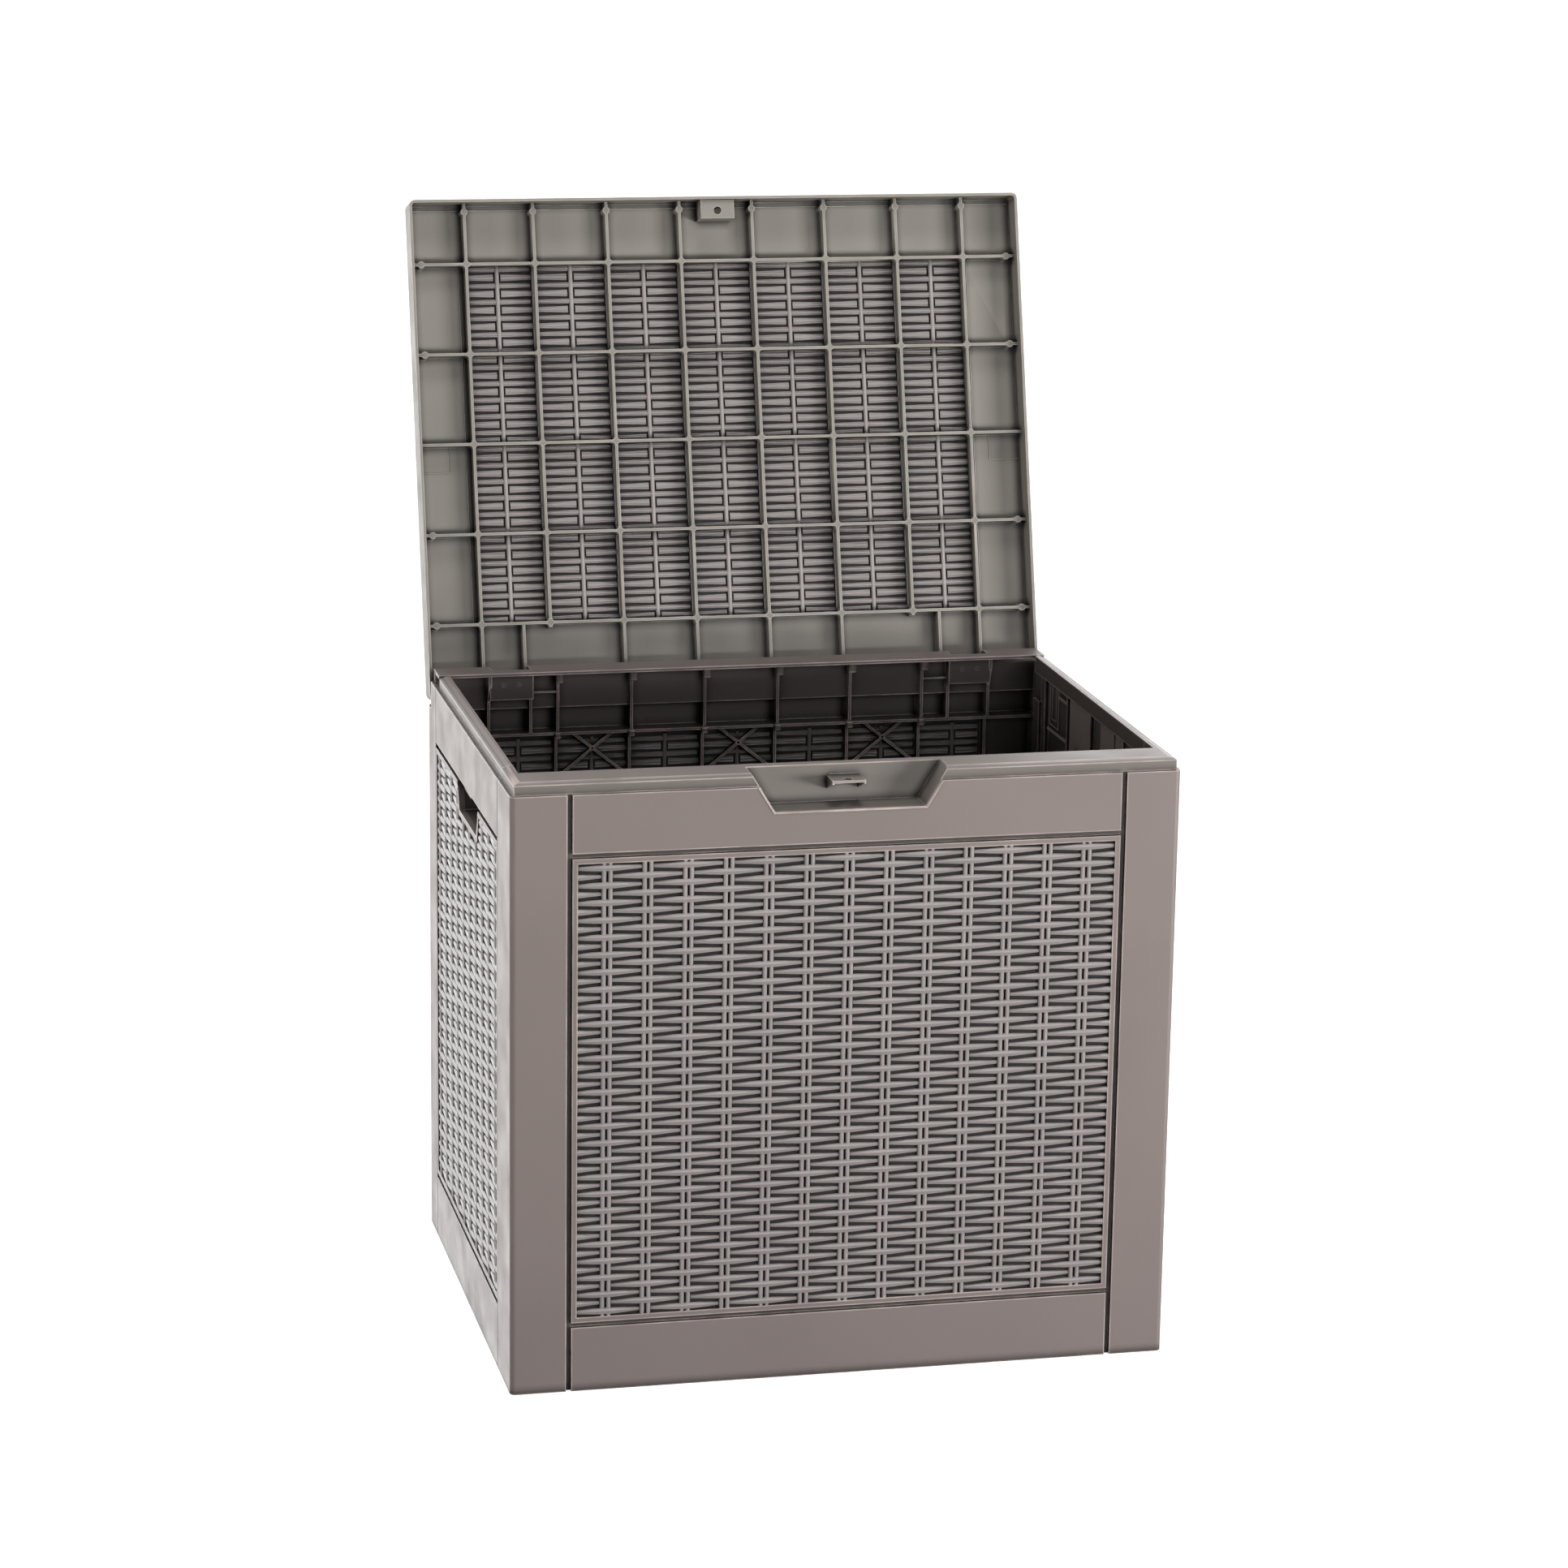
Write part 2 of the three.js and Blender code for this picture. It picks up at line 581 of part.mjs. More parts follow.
function hingeLeaf() {
  const half = pocketWidth / 2 - gap - earThickness - gap;
  const x0 = hingeCentre - half;
  const x1 = hingeCentre + half;
  const top = lidUnder - gap;
  const holes = [-1, 1].map((k) => bar('z', screwShankRadius + gap, top - leafPlate - 1, top + 1,
    [hingeCentre + (k * screwSpacing) / 2, leafScrewY], 12));
  return cut(
    join(bar('x', knuckleRadius, x0, x1, [axisY, axisZ]),
      box(x0, x1, axisY - leafArm / 2, axisY + leafArm / 2, axisZ, top),
      box(x0, x1, axisY - leafArm, halfDepth - lidSkirt - gap, top - leafPlate, top)),
    bar('x', pinRadius + gap, x0 - 1, x1 + 1, [axisY, axisZ]), ...holes,
  );
}

function screw(axis, from, direction, grip, centre) {
  const headEnd = from - direction * screwHeadHeight;
  const tip = from + direction * (grip + screwBite);
  return join(
    bar(axis, screwHeadRadius, Math.min(from, headEnd), Math.max(from, headEnd), centre, 16),
    bar(axis, screwShankRadius, Math.min(from - direction, tip), Math.max(from - direction, tip), centre, 12),
  );
}

// ---- assembly ----
const storageBox = new THREE.Group();
storageBox.add(node('front_panel', frontPanel(), resin()));
storageBox.add(node('back_panel', backPanel(), resin()));
storageBox.add(node('floor_panel', floorPanel(), resin()));
storageBox.add(node('lock_eye', lockEye(), resin()));

// The lid group turns about the hinge axis; its contents are drawn closed, relative to that axis.
const lidGroup = new THREE.Group();
lidGroup.position.set(0, axisY, axisZ);
lidGroup.rotation.x = -THREE.MathUtils.degToRad(openAngle);
const onLid = (mesh) => {
  mesh.position.set(0, -axisY, -axisZ);
  lidGroup.add(mesh);
};
onLid(node('lid', lidShell(), resin()));
onLid(node('lock_tab', lockTab(), resin()));

[['left', -1], ['right', 1]].forEach(([word, side]) => {
  storageBox.add(node(`${word}_side_panel`, sidePanel(), resin(), side));
  storageBox.add(node(`hinge_bracket_${word}`, hingeBracket(), resin(), side));
  storageBox.add(node(`hinge_pin_${word}`, hingePin(), steel(), side));
  onLid(node(`hinge_leaf_${word}`, hingeLeaf(), resin(), side));
  [-1, 1].forEach((k, i) => {
    const x = side * hingeCentre + (k * screwSpacing) / 2;
    const base = pocketFront + bracketBase + 2 * gap;
    storageBox.add(node(`bracket_screw_${word}_${i + 1}`,
      screw('y', base, -1, bracketBase + 2 * gap, [x, axisZ]), steel()));
    onLid(node(`leaf_screw_${word}_${i + 1}`,
      screw('z', lidUnder - gap - leafPlate - gap, 1, leafPlate + 2 * gap, [x, leafScrewY]), steel()));
  });
});
storageBox.add(lidGroup);

export default storageBox;
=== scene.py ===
# %% [markdown]
# # A resin deck storage box
#
# The real box is a kit of moulded resin panels: a front, a back, two sides, a floor and a
# hinged lid. The smooth boards, grooves, rims, ribs and hinges are already exact in the
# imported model, so this lesson leaves their shape alone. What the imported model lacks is
# the rattan look: each panel has a sunk field filled with moulded strands woven round
# pairs of upright stakes. We weave those, round the sharp edges, mix the resin and the
# steel, and light the box in a plain studio.

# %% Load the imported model
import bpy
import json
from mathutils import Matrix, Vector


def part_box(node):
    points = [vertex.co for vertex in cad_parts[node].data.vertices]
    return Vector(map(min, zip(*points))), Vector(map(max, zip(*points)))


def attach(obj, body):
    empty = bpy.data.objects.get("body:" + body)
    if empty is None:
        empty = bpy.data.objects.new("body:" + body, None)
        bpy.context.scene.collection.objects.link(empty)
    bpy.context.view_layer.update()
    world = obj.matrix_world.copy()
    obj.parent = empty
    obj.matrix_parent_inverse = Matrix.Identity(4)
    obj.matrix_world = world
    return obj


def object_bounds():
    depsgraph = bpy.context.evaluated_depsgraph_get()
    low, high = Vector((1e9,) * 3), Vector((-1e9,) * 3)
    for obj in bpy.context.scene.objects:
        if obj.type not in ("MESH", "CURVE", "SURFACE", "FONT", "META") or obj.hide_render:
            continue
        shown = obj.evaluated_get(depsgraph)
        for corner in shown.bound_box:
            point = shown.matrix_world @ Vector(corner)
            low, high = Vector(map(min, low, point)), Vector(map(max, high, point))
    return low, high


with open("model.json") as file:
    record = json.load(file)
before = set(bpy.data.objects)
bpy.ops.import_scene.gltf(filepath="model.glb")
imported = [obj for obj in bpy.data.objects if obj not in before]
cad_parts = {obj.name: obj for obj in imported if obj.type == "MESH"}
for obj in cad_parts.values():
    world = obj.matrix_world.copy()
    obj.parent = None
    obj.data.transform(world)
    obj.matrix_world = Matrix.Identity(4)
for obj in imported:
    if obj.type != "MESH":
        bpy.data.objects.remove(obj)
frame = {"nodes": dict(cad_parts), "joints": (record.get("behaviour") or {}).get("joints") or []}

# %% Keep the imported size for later
import json
from math import cos, hypot, pi, radians, sin
import random
import bmesh
import bpy
from mathutils import Matrix, Vector

packed_box = [list(corner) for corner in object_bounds()]
cad = frame["nodes"]
mm = 0.001
print("packed size:", [round(high - low, 3) for low, high in zip(*packed_box)])

# %% [markdown]
# ## Camera
#
# A long lens keeps the uprights almost parallel, as in a catalogue picture. The camera
# stands in front of the box, a little to its left and above it, so that the front, the
# left side, the inside and the open lid all show at once. A camera can be aimed with a
# constraint, but a matrix built from its looking and upward directions leaves nothing
# to be solved later, and keeps the slight roll.

# %% Place the camera
camera_place = Vector((-0.86105, -3.72551, 1.40299))
looking = Vector((0.217308, 0.945875, -0.241036)).normalized()
upward = Vector((0.039834, 0.238138, 0.970414))
rightward = looking.cross(upward).normalized()
upward = rightward.cross(looking)
lens = bpy.data.cameras.new("studio_camera")
lens.lens = 105.27
lens.sensor_width = 36
camera = bpy.data.objects.new("studio_camera", lens)
camera.matrix_world = Matrix.Translation(camera_place) @ Matrix(
    (rightward, upward, -looking)).transposed().to_4x4()
bpy.context.scene.collection.objects.link(camera)
bpy.context.scene.camera = camera
print("camera", [round(x, 2) for x in camera.location], "lens", lens.lens, "mm")

# %% [markdown]
# ## Light and floor
#
# Satin resin shows its shape by broad, soft reflections, so the lights are large panels.
# The left one makes the left side the brightest face. The right one draws a bright line
# on the right of every rod, and the front one fills the boards. These three stand hardly
# higher than the rim, so that little of their light falls inside, which stays dark. A
# higher one reaches the lid, and one overhead picks out the rim and drops a short shadow
# below every rib of the lid. The world behind the box is brighter than white, for the
# flat rim to mirror, and dim all round the rest.

# %% Set up the studio
rim_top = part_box("front_panel")[1].z
middle = Vector((0, 0, rim_top * 0.8))


def soft_light(name, place, width, height, power):
    """A light panel that faces the middle of the box."""
    light = bpy.data.lights.new(name, "AREA")
    light.shape = "RECTANGLE"
    light.size = width
    light.size_y = height
    light.energy = power
    lamp = bpy.data.objects.new(name, light)
    lamp.location = place
    lamp.rotation_euler = (middle - Vector(place)).to_track_quat("-Z", "Y").to_euler()
    bpy.context.scene.collection.objects.link(lamp)


soft_light("left_panel", (-3.4, -0.9, 0.68), 1.2, 0.8, 42)
soft_light("right_panel", (2.5, -2.0, 0.45), 1.3, 0.5, 84)
soft_light("front_panel", (0.5, -3.7, 0.45), 1.4, 0.5, 28)
soft_light("high_panel", (0.9, -3.5, 1.7), 1.6, 0.8, 28)
soft_light("overhead_panel", (0.2, -0.35, 3.0), 1.0, 0.6, 20)
bpy.context.scene.view_settings.view_transform = "Standard"


# %% Make the studio's walls: a bright one behind the box, dim ones elsewhere
def studio_world(behind, elsewhere):
    """World light by direction; +Y, behind the box, is the bright side."""
    world = bpy.data.worlds.new("pale_studio")
    world.use_nodes = True
    tree = world.node_tree
    direction = tree.nodes.new("ShaderNodeTexCoord").outputs["Generated"]
    split = tree.nodes.new("ShaderNodeSeparateXYZ")
    tree.links.new(direction, split.inputs[0])
    share = tree.nodes.new("ShaderNodeMapRange")
    dim_up_to, bright_from = 0.45, 0.80
    for i, number in enumerate((dim_up_to, bright_from, elsewhere, behind)):
        share.inputs[i + 1].default_value = number
    tree.links.new(split.outputs["Y"], share.inputs["Value"])
    tree.links.new(share.outputs["Result"], tree.nodes["Background"].inputs["Strength"])
    tree.nodes["Background"].inputs["Color"].default_value = (1, 1, 1, 1)
    bpy.context.scene.world = world


studio_world(behind=3.2, elsewhere=0.04)
print("world:", bpy.context.scene.world.name)

# %% [markdown]
# ## Materials
#
# All the moulded pieces are one resin, a warm grey with pigment stirred through it. Real moulded
# resin is never one flat colour: the pigment clouds a little, the mould's spark texture roughens
# it in patches, handling polishes the outer edges, and dust settles on faces that look up. Light
# and shade are painted into the colour too: a painted highlight lightens the outer edges, painted
# shade fills the grooves, and the lowest boards are painted a shade darker towards the ground.
# Each of those is a few nodes. Everything is worked out from places on the object itself, so no
# picture is needed.

# %% Helpers for building node trees
def blank(name):
    """A new material with its node tree and its main shader."""
    material = bpy.data.materials.new(name)
    material.use_nodes = True
    tree = material.node_tree
    return material, tree, tree.nodes["Principled BSDF"]


def add(tree, kind, **settings):
    """One node, with its plain settings given by name."""
    node = tree.nodes.new(kind)
    for key, value in settings.items():
        setattr(node, key, value)
    return node


def noise(tree, place, scale, detail=2.0, rough=0.5):
    """A noise value at a place, about 0.5 on average."""
    node = add(tree, "ShaderNodeTexNoise")
    node.inputs["Scale"].default_value = scale
    node.inputs["Detail"].default_value = detail
    node.inputs["Roughness"].default_value = rough
    tree.links.new(place, node.inputs["Vector"])
    return node.outputs["Fac"]


def spread(tree, value, low, high, to_low, to_high):
    """Carries a value from one range to another, held inside the new range."""
    node = add(tree, "ShaderNodeMapRange")
    for i, number in enumerate((low, high, to_low, to_high)):
        node.inputs[i + 1].default_value = number
    tree.links.new(value, node.inputs["Value"])
    return node.outputs["Result"]


def sums(tree, operation, a, b):
    """One step of arithmetic between two sockets, or a socket and a number."""
    node = add(tree, "ShaderNodeMath", operation=operation)
    for socket, value in zip(node.inputs, (a, b)):
        if isinstance(value, (int, float)):
            socket.default_value = value
        else:
            tree.links.new(value, socket)
    return node.outputs[0]


def blend_colours(tree, share, first, second):
    """Between two colours by a share from 0 to 1; a colour may be a socket."""
    node = add(tree, "ShaderNodeMix", data_type="RGBA")
    tree.links.new(share, node.inputs["Factor"])
    for socket, value in zip((node.inputs[6], node.inputs[7]), (first, second)):
        if isinstance(value, tuple):
            socket.default_value = (*value, 1)
        else:
            tree.links.new(value, socket)
    return node.outputs[2]


def axes_of(tree, place):
    """The X, Y and Z of a place or a direction, each as a socket."""
    node = add(tree, "ShaderNodeSeparateXYZ")
    tree.links.new(place, node.inputs[0])
    return node.outputs


def tinted(colour, share):
    """A colour made lighter or darker by a share."""
    return tuple(min(1.0, channel * share) for channel in colour)


def bumps(tree, height, distance, strength=1.0, under=None):
    """Raises the surface by a height value, on top of another bump."""
    node = add(tree, "ShaderNodeBump")
    node.inputs["Distance"].default_value = distance
    node.inputs["Strength"].default_value = strength
    tree.links.new(height, node.inputs["Height"])
    if under is not None:
        tree.links.new(under, node.inputs["Normal"])
    return node.outputs["Normal"]


# %% [markdown]
# ### Pigment and texture
#
# Under everything lies the pigment: slow clouds of two shades, with fine darker specks
# that follow the spark texture's grain. Strands also have faint streaks along their
# length, as split cane has, so their noise is squeezed across the strand: `stretch` says
# how much finer it is along X, Y and Z. A small value called `tone`, stored on each
# strand when it is made, shifts its shade a little from its neighbours'.

# %% Pigment, spark texture and streaks
clouds_per_metre = 5.5
patches_per_metre = 34.0
dents_per_metre = 120.0
grain_per_metre = 1500.0


def pigment(tree, place, grain, colour):
    """Slow clouds of two shades, with fine darker specks."""
    clouds = spread(tree, noise(tree, place, clouds_per_metre, 4.0), 0.3, 0.7, 0.0, 1.0)
    shade = blend_colours(tree, clouds, tinted(colour, 0.94), tinted(colour, 1.05))
    specks = spread(tree, grain, 0.42, 0.66, 0.0, 0.16)
    return blend_colours(tree, specks, shade, tinted(colour, 0.80))


def spark_texture(tree, place, grain):
    """The mould's shallow dents and fine grain, as a bumped normal."""
    dents = bumps(tree, noise(tree, place, dents_per_metre, 2.0), 0.15 * mm, 0.35)
    return bumps(tree, grain, 0.05 * mm, 0.5, dents)


def streaked(tree, place, stretch, colour, shade, normal):
    """Streaks along a strand and the strand's own tone: a new shade and normal."""
    squeeze = add(tree, "ShaderNodeMapping")
    squeeze.inputs["Scale"].default_value = stretch
    tree.links.new(place, squeeze.inputs["Vector"])
    streaks = noise(tree, squeeze.outputs["Vector"], 1.0, 3.0, 0.6)
    darker = spread(tree, streaks, 0.35, 0.65, 0.0, 0.30)
    shade = blend_colours(tree, darker, shade, tinted(colour, 0.78))
    tone = add(tree, "ShaderNodeAttribute", attribute_name="tone").outputs["Fac"]
    lighter = spread(tree, tone, 0.0, 1.0, 0.0, 0.5)
    shade = blend_colours(tree, lighter, shade, tinted(colour, 1.16))
    return shade, bumps(tree, streaks, 0.25 * mm, 0.5, normal)


print("grain every", round(1000 / grain_per_metre, 2), "mm")

# %% [markdown]
# ### Painted shade by place
#
# The resin isn't one shade all over: shade is painted into it. The inside is darker than the
# outside, which is painted shade. The strip of rim that the lid's skirt covers and the latch
# recess are olive, as the lid is, and darker with painted shade. The lid darkens a little towards
# its hinge, also painted shade. Painting faces by hand would break when a size changes, so each
# shade has a share that is worked out from the height and from how far a place lies in from the
# outer faces.

# %% Shares of painted shade: the inside, the rim and the recess
# Painted shade of the inside, and the olive colour with painted shade of the rim and recess.
inside_shade_colour = (0.092, 0.078, 0.073)
rim_olive_and_shade_colour = (0.175, 0.163, 0.142)
outer_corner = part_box("back_panel")[1]
outer_skin = 5.2 * mm
rim_face = rim_top - 1.2 * mm
skirt_foot = rim_top - 10.4 * mm
recess_foot = rim_top - 32.2 * mm
recess_back = 30 * mm - outer_corner.y
lid_foot, lid_head = rim_top + 31.5 * mm, packed_box[1][2] - 20 * mm


def painted_shade_shares(tree, place):
    """How much painted shade a place takes inside the box, and as rim or latch recess."""
    axes = axes_of(tree, place)
    within = spread(tree, axes["Z"], rim_face, rim_face + 0.6 * mm, 1.0, 0.0)
    rim = spread(tree, axes["Z"], skirt_foot, skirt_foot + 0.5 * mm, 0.0, 0.6)
    rim = sums(tree, "MULTIPLY", rim, within)
    for axis, outer in (("X", outer_corner.x), ("Y", outer_corner.y)):
        inset = sums(tree, "SUBTRACT", outer, sums(tree, "ABSOLUTE", axes[axis], 0.0))
        deep = spread(tree, inset, outer_skin, outer_skin + 0.6 * mm, 0.0, 1.0)
        within = sums(tree, "MULTIPLY", within, deep)
    behind = spread(tree, axes["Y"], recess_back, recess_back + 0.5 * mm, 0.0, 1.0)
    below = spread(tree, axes["Z"], recess_foot, recess_foot + 0.5 * mm, 1.0, 0.0)
    not_recess = sums(tree, "MAXIMUM", behind, below)
    recess = sums(tree, "MULTIPLY", within, sums(tree, "SUBTRACT", 1.0, not_recess))
    olive_and_shade = sums(tree, "MAXIMUM", rim, sums(tree, "MULTIPLY", recess, 0.8))
    return sums(tree, "MULTIPLY", within, not_recess), olive_and_shade


def hinge_shade_share(tree, place):
    """How much painted shade a place near the open lid's hinge takes."""
    return spread(tree, axes_of(tree, place)["Z"], lid_foot, lid_head, 0.30, 0.0)


print("inside starts", round(outer_skin / mm, 1), "mm in from the outer faces")

# %% [markdown]
# ### Wear, dust, painted highlights and painted shade
#
# A Bevel node gives the normal that a rounded edge would have. Where that differs from the true
# normal there is an edge, and it gets a painted highlight and is polished by handling. The Ambient
# Occlusion node tells how open a place is: closed places get painted shade, and only open edges
# get the painted highlight and the wear. Dust needs no more than a direction, and the painted
# shade near the ground no more than a height.

# %% Painted edge highlights and wear, painted shade near the ground, and dust
dust_colour = (0.46, 0.43, 0.40)
# Colour and reach of the painted shade that darkens the boards towards the ground.
ground_shade_colour = (0.13, 0.105, 0.112)
ground_shade_height = 0.42
edge_reach = 1.8 * mm
# How far the painted shade in closed places looks for nearby faces.
crevice_shade_reach = 9 * mm


def worn_and_highlit_edges(tree, patches, openness):
    """How much painted highlight and wear a place takes: much on open edges, unevenly, and not at
    all on flat faces.
    """
    rounded = add(tree, "ShaderNodeBevel", samples=4)
    rounded.inputs["Radius"].default_value = edge_reach
    true_normal = add(tree, "ShaderNodeNewGeometry").outputs["True Normal"]
    likeness = add(tree, "ShaderNodeVectorMath", operation="DOT_PRODUCT")
    tree.links.new(rounded.outputs["Normal"], likeness.inputs[0])
    tree.links.new(true_normal, likeness.inputs[1])
    at_edge = spread(tree, likeness.outputs["Value"], 0.99, 0.93, 0.0, 1.0)
    wear_and_highlight = sums(tree, "MULTIPLY", at_edge, spread(tree, patches, 0.40, 0.62, 0.45, 0.9))
    return sums(tree, "MULTIPLY", wear_and_highlight, spread(tree, openness, 0.35, 0.55, 0.0, 1.0))


def shaded_near_ground(tree, place, patches, shade):
    """Painted shade: darker towards the ground."""
    ground_shade = spread(tree, axes_of(tree, place)["Z"], 0.0, ground_shade_height, 0.30, 0.0)
    ground_shade = sums(tree, "MULTIPLY", ground_shade, spread(tree, patches, 0.3, 0.7, 0.8, 1.0))
    return blend_colours(tree, ground_shade, shade, ground_shade_colour)


def dusted(tree, patches, shade):
    """A little dust on the faces that look up."""
    true_normal = add(tree, "ShaderNodeNewGeometry").outputs["True Normal"]
    dusty = spread(tree, axes_of(tree, true_normal)["Z"], 0.6, 1.0, 0.0, 0.16)
    dusty = sums(tree, "MULTIPLY", dusty, spread(tree, patches, 0.35, 0.7, 0.3, 1.0))
    return blend_colours(tree, dusty, shade, dust_colour)


print("painted ground shade up to", ground_shade_height, "m")

# %% [markdown]
# ### The resins
#
# One recipe makes them all. The boards, the lid, the strands and the stakes differ only in colour,
# in shine, and in which of the layers above they take. The deep gaps of the weave get a resin of
# their own, almost black: painted shade.

# %% Mix the resins
resin_colour = (0.254, 0.210, 0.193)
cane_colour = (0.302, 0.272, 0.263)
lid_colour = (0.290, 0.268, 0.236)
# The almost black painted shade for the weave's gaps and the seams.
gap_shade_colour = (0.030, 0.025, 0.024)


def resin(name, colour, roughness, stretch=None, inside_shade=None, edge_highlight_share=2.0,
          hinge_shade=False):
    """Moulded resin; a stretch makes it streaky, for cane-like strands."""
    material, tree, shader = blank(name)
    place = add(tree, "ShaderNodeTexCoord").outputs["Object"]
    patches = noise(tree, place, patches_per_metre, 3.0)
    grain = noise(tree, place, grain_per_metre, 2.0, 0.6)
    shade = pigment(tree, place, grain, colour)
    normal = spark_texture(tree, place, grain)
    if stretch:
        shade, normal = streaked(tree, place, stretch, colour, shade, normal)
    # Painted shade: the lid is darker towards its hinge.
    if hinge_shade:
        shade = blend_colours(tree, hinge_shade_share(tree, place), shade, tinted(colour, 0.45))
    # Painted shade: the inside is darker, and the rim under the skirt and the latch recess are
    # olive and darker.
    if inside_shade:
        within, olive_and_shade = painted_shade_shares(tree, place)
        shade = blend_colours(tree, olive_and_shade, shade, rim_olive_and_shade_colour)
        shade = blend_colours(tree, within, shade, inside_shade)
    # Painted shade: darker towards the ground.
    shade = shaded_near_ground(tree, place, patches, shade)
    closeness = add(tree, "ShaderNodeAmbientOcclusion", samples=6)
    closeness.inputs["Distance"].default_value = crevice_shade_reach
    openness = closeness.outputs["AO"]
    # Painted shade: closed places, such as grooves and the weave's gaps, turn almost black.
    painted_crevice_shade = spread(tree, openness, 0.50, 0.94, 0.98, 0.0)
    shade = blend_colours(tree, painted_crevice_shade, shade, tinted(colour, 0.05))
    # Painted highlight and wear: open edges are made much lighter in colour and a little smoother.
    wear_and_highlight = worn_and_highlit_edges(tree, patches, openness)
    shade = blend_colours(tree, wear_and_highlight, shade, tinted(colour, edge_highlight_share))
    tree.links.new(dusted(tree, patches, shade), shader.inputs["Base Color"])
    dullness = sums(tree, "ADD", spread(tree, patches, 0.3, 0.7, -0.06, 0.06), roughness)
    dullness = sums(tree, "SUBTRACT", dullness, sums(tree, "MULTIPLY", wear_and_highlight, 0.25))
    tree.links.new(dullness, shader.inputs["Roughness"])
    tree.links.new(normal, shader.inputs["Normal"])
    shader.inputs["IOR"].default_value = 1.48
    shader.inputs["Specular IOR Level"].default_value = 0.42
    return material


level_stretch, deep_stretch, upright_stretch = (45, 1400, 1400), (1400, 45, 1400), (1400, 1400, 45)
board_resin = resin("board_resin", resin_colour, 0.50, inside_shade=inside_shade_colour,
                    edge_highlight_share=3.4)
lid_resin = resin("lid_resin", lid_colour, 0.50, hinge_shade=True)
gap_shade_resin = resin("gap_shade_resin", gap_shade_colour, 0.65)
plate_resin = resin("plate_resin", resin_colour, 0.50)
# The weave inside the box is half as light: painted shade.
shaded_inner_cane = resin("shaded_inner_cane", tinted(cane_colour, 0.5), 0.40, level_stretch)
cane_along_x = resin("cane_along_x", cane_colour, 0.40, level_stretch, edge_highlight_share=1.2)
cane_along_y = resin("cane_along_y", cane_colour, 0.46, deep_stretch, edge_highlight_share=1.2)
stake_upright = resin("stake_upright", tinted(cane_colour, 1.1), 0.32, upright_stretch)
print("resins:", [m.name for m in bpy.data.materials if "resin" in m.name or "cane" in m.name])

# %% [markdown]
# ### The steel
#
# The hinge pins and screws are zinc-plated steel. Plating has fine turning rings and a
# slightly cloudy grey-blue bloom.

# %% Mix the steel
def plated_steel(name):
    material, tree, shader = blank(name)
    place = add(tree, "ShaderNodeTexCoord").outputs["Object"]
    bloom = spread(tree, noise(tree, place, 260.0, 3.0), 0.35, 0.65, 0.0, 1.0)
    colour = blend_colours(tree, bloom, (0.46, 0.46, 0.48), (0.62, 0.62, 0.61))
    rings = noise(tree, place, 2600.0, 2.0, 0.7)
    tree.links.new(colour, shader.inputs["Base Color"])
    tree.links.new(spread(tree, bloom, 0.0, 1.0, 0.26, 0.42), shader.inputs["Roughness"])
    tree.links.new(bumps(tree, rings, 0.03 * mm, 0.4), shader.inputs["Normal"])
    shader.inputs["Metallic"].default_value = 1.0
    return material


pin_steel = plated_steel("pin_steel")
print("steel:", pin_steel.name)

# %% [markdown]
# ### Floor
#
# A large, almost white sheet. It is lit until it is near white, so that the eye stays on
# the box, with just enough unevenness in it to be paper and not nothing.

# %% Lay the floor
def studio_floor():
    material, tree, shader = blank("floor_paper")
    place = add(tree, "ShaderNodeTexCoord").outputs["Object"]
    fibres = noise(tree, place, 90.0, 3.0)
    tree.links.new(blend_colours(tree, fibres, (0.88, 0.88, 0.88), (0.93, 0.93, 0.93)),
                   shader.inputs["Base Color"])
    shader.inputs["Roughness"].default_value = 0.9
    shader.inputs["Emission Color"].default_value = (1, 1, 1, 1)
    shader.inputs["Emission Strength"].default_value = 0.80
    half = 30.0
    below = packed_box[0][2] - 0.3 * mm
    mesh = bpy.data.meshes.new("floor")
    mesh.from_pydata([(-half, -half, below), (half, -half, below), (half, half, below),
                      (-half, half, below)], [], [(0, 1, 2, 3)])
    mesh.materials.append(material)
    floor = bpy.data.objects.new("floor", mesh)
    bpy.context.scene.collection.objects.link(floor)
    floor.visible_diffuse = False
    floor.visible_glossy = False


studio_floor()
print("floor laid")

# %% [markdown]
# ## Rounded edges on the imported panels
#
# Every moulded edge has a small radius, and that radius catches a thin bright line. The
# packed panels have knife edges. Their meshes stay as they are, and three modifiers make
# the radius on top: one welds the corners, one joins the flat triangles into whole
# faces so that the edges run clean, and the last cuts the bevel. A small node group then
# shades everything under a sharp angle smoothly.

# %% Smooth shading by angle
def smoothing_group(sharp):
    """A node group that shades smooth, except where faces meet at a sharper angle."""
    group = bpy.data.node_groups.new("smooth_below_angle", "GeometryNodeTree")
    group.interface.new_socket("Geometry", in_out="INPUT", socket_type="NodeSocketGeometry")
    group.interface.new_socket("Geometry", in_out="OUTPUT", socket_type="NodeSocketGeometry")
    start = group.nodes.new("NodeGroupInput")
    end = group.nodes.new("NodeGroupOutput")
    faces = group.nodes.new("GeometryNodeSetShadeSmooth")
    edges = group.nodes.new("GeometryNodeSetShadeSmooth")
    edges.domain = "EDGE"
    edges.inputs["Shade Smooth"].default_value = False
    angle = group.nodes.new("GeometryNodeInputMeshEdgeAngle")
    is_sharp = group.nodes.new("FunctionNodeCompare")
    is_sharp.inputs[1].default_value = sharp
    group.links.new(start.outputs[0], faces.inputs["Geometry"])
    group.links.new(faces.outputs[0], edges.inputs["Geometry"])
    group.links.new(angle.outputs["Unsigned Angle"], is_sharp.inputs[0])
    group.links.new(is_sharp.outputs[0], edges.inputs["Selection"])
    group.links.new(edges.outputs[0], end.inputs[0])
    return group


smooth_below = smoothing_group(radians(38))

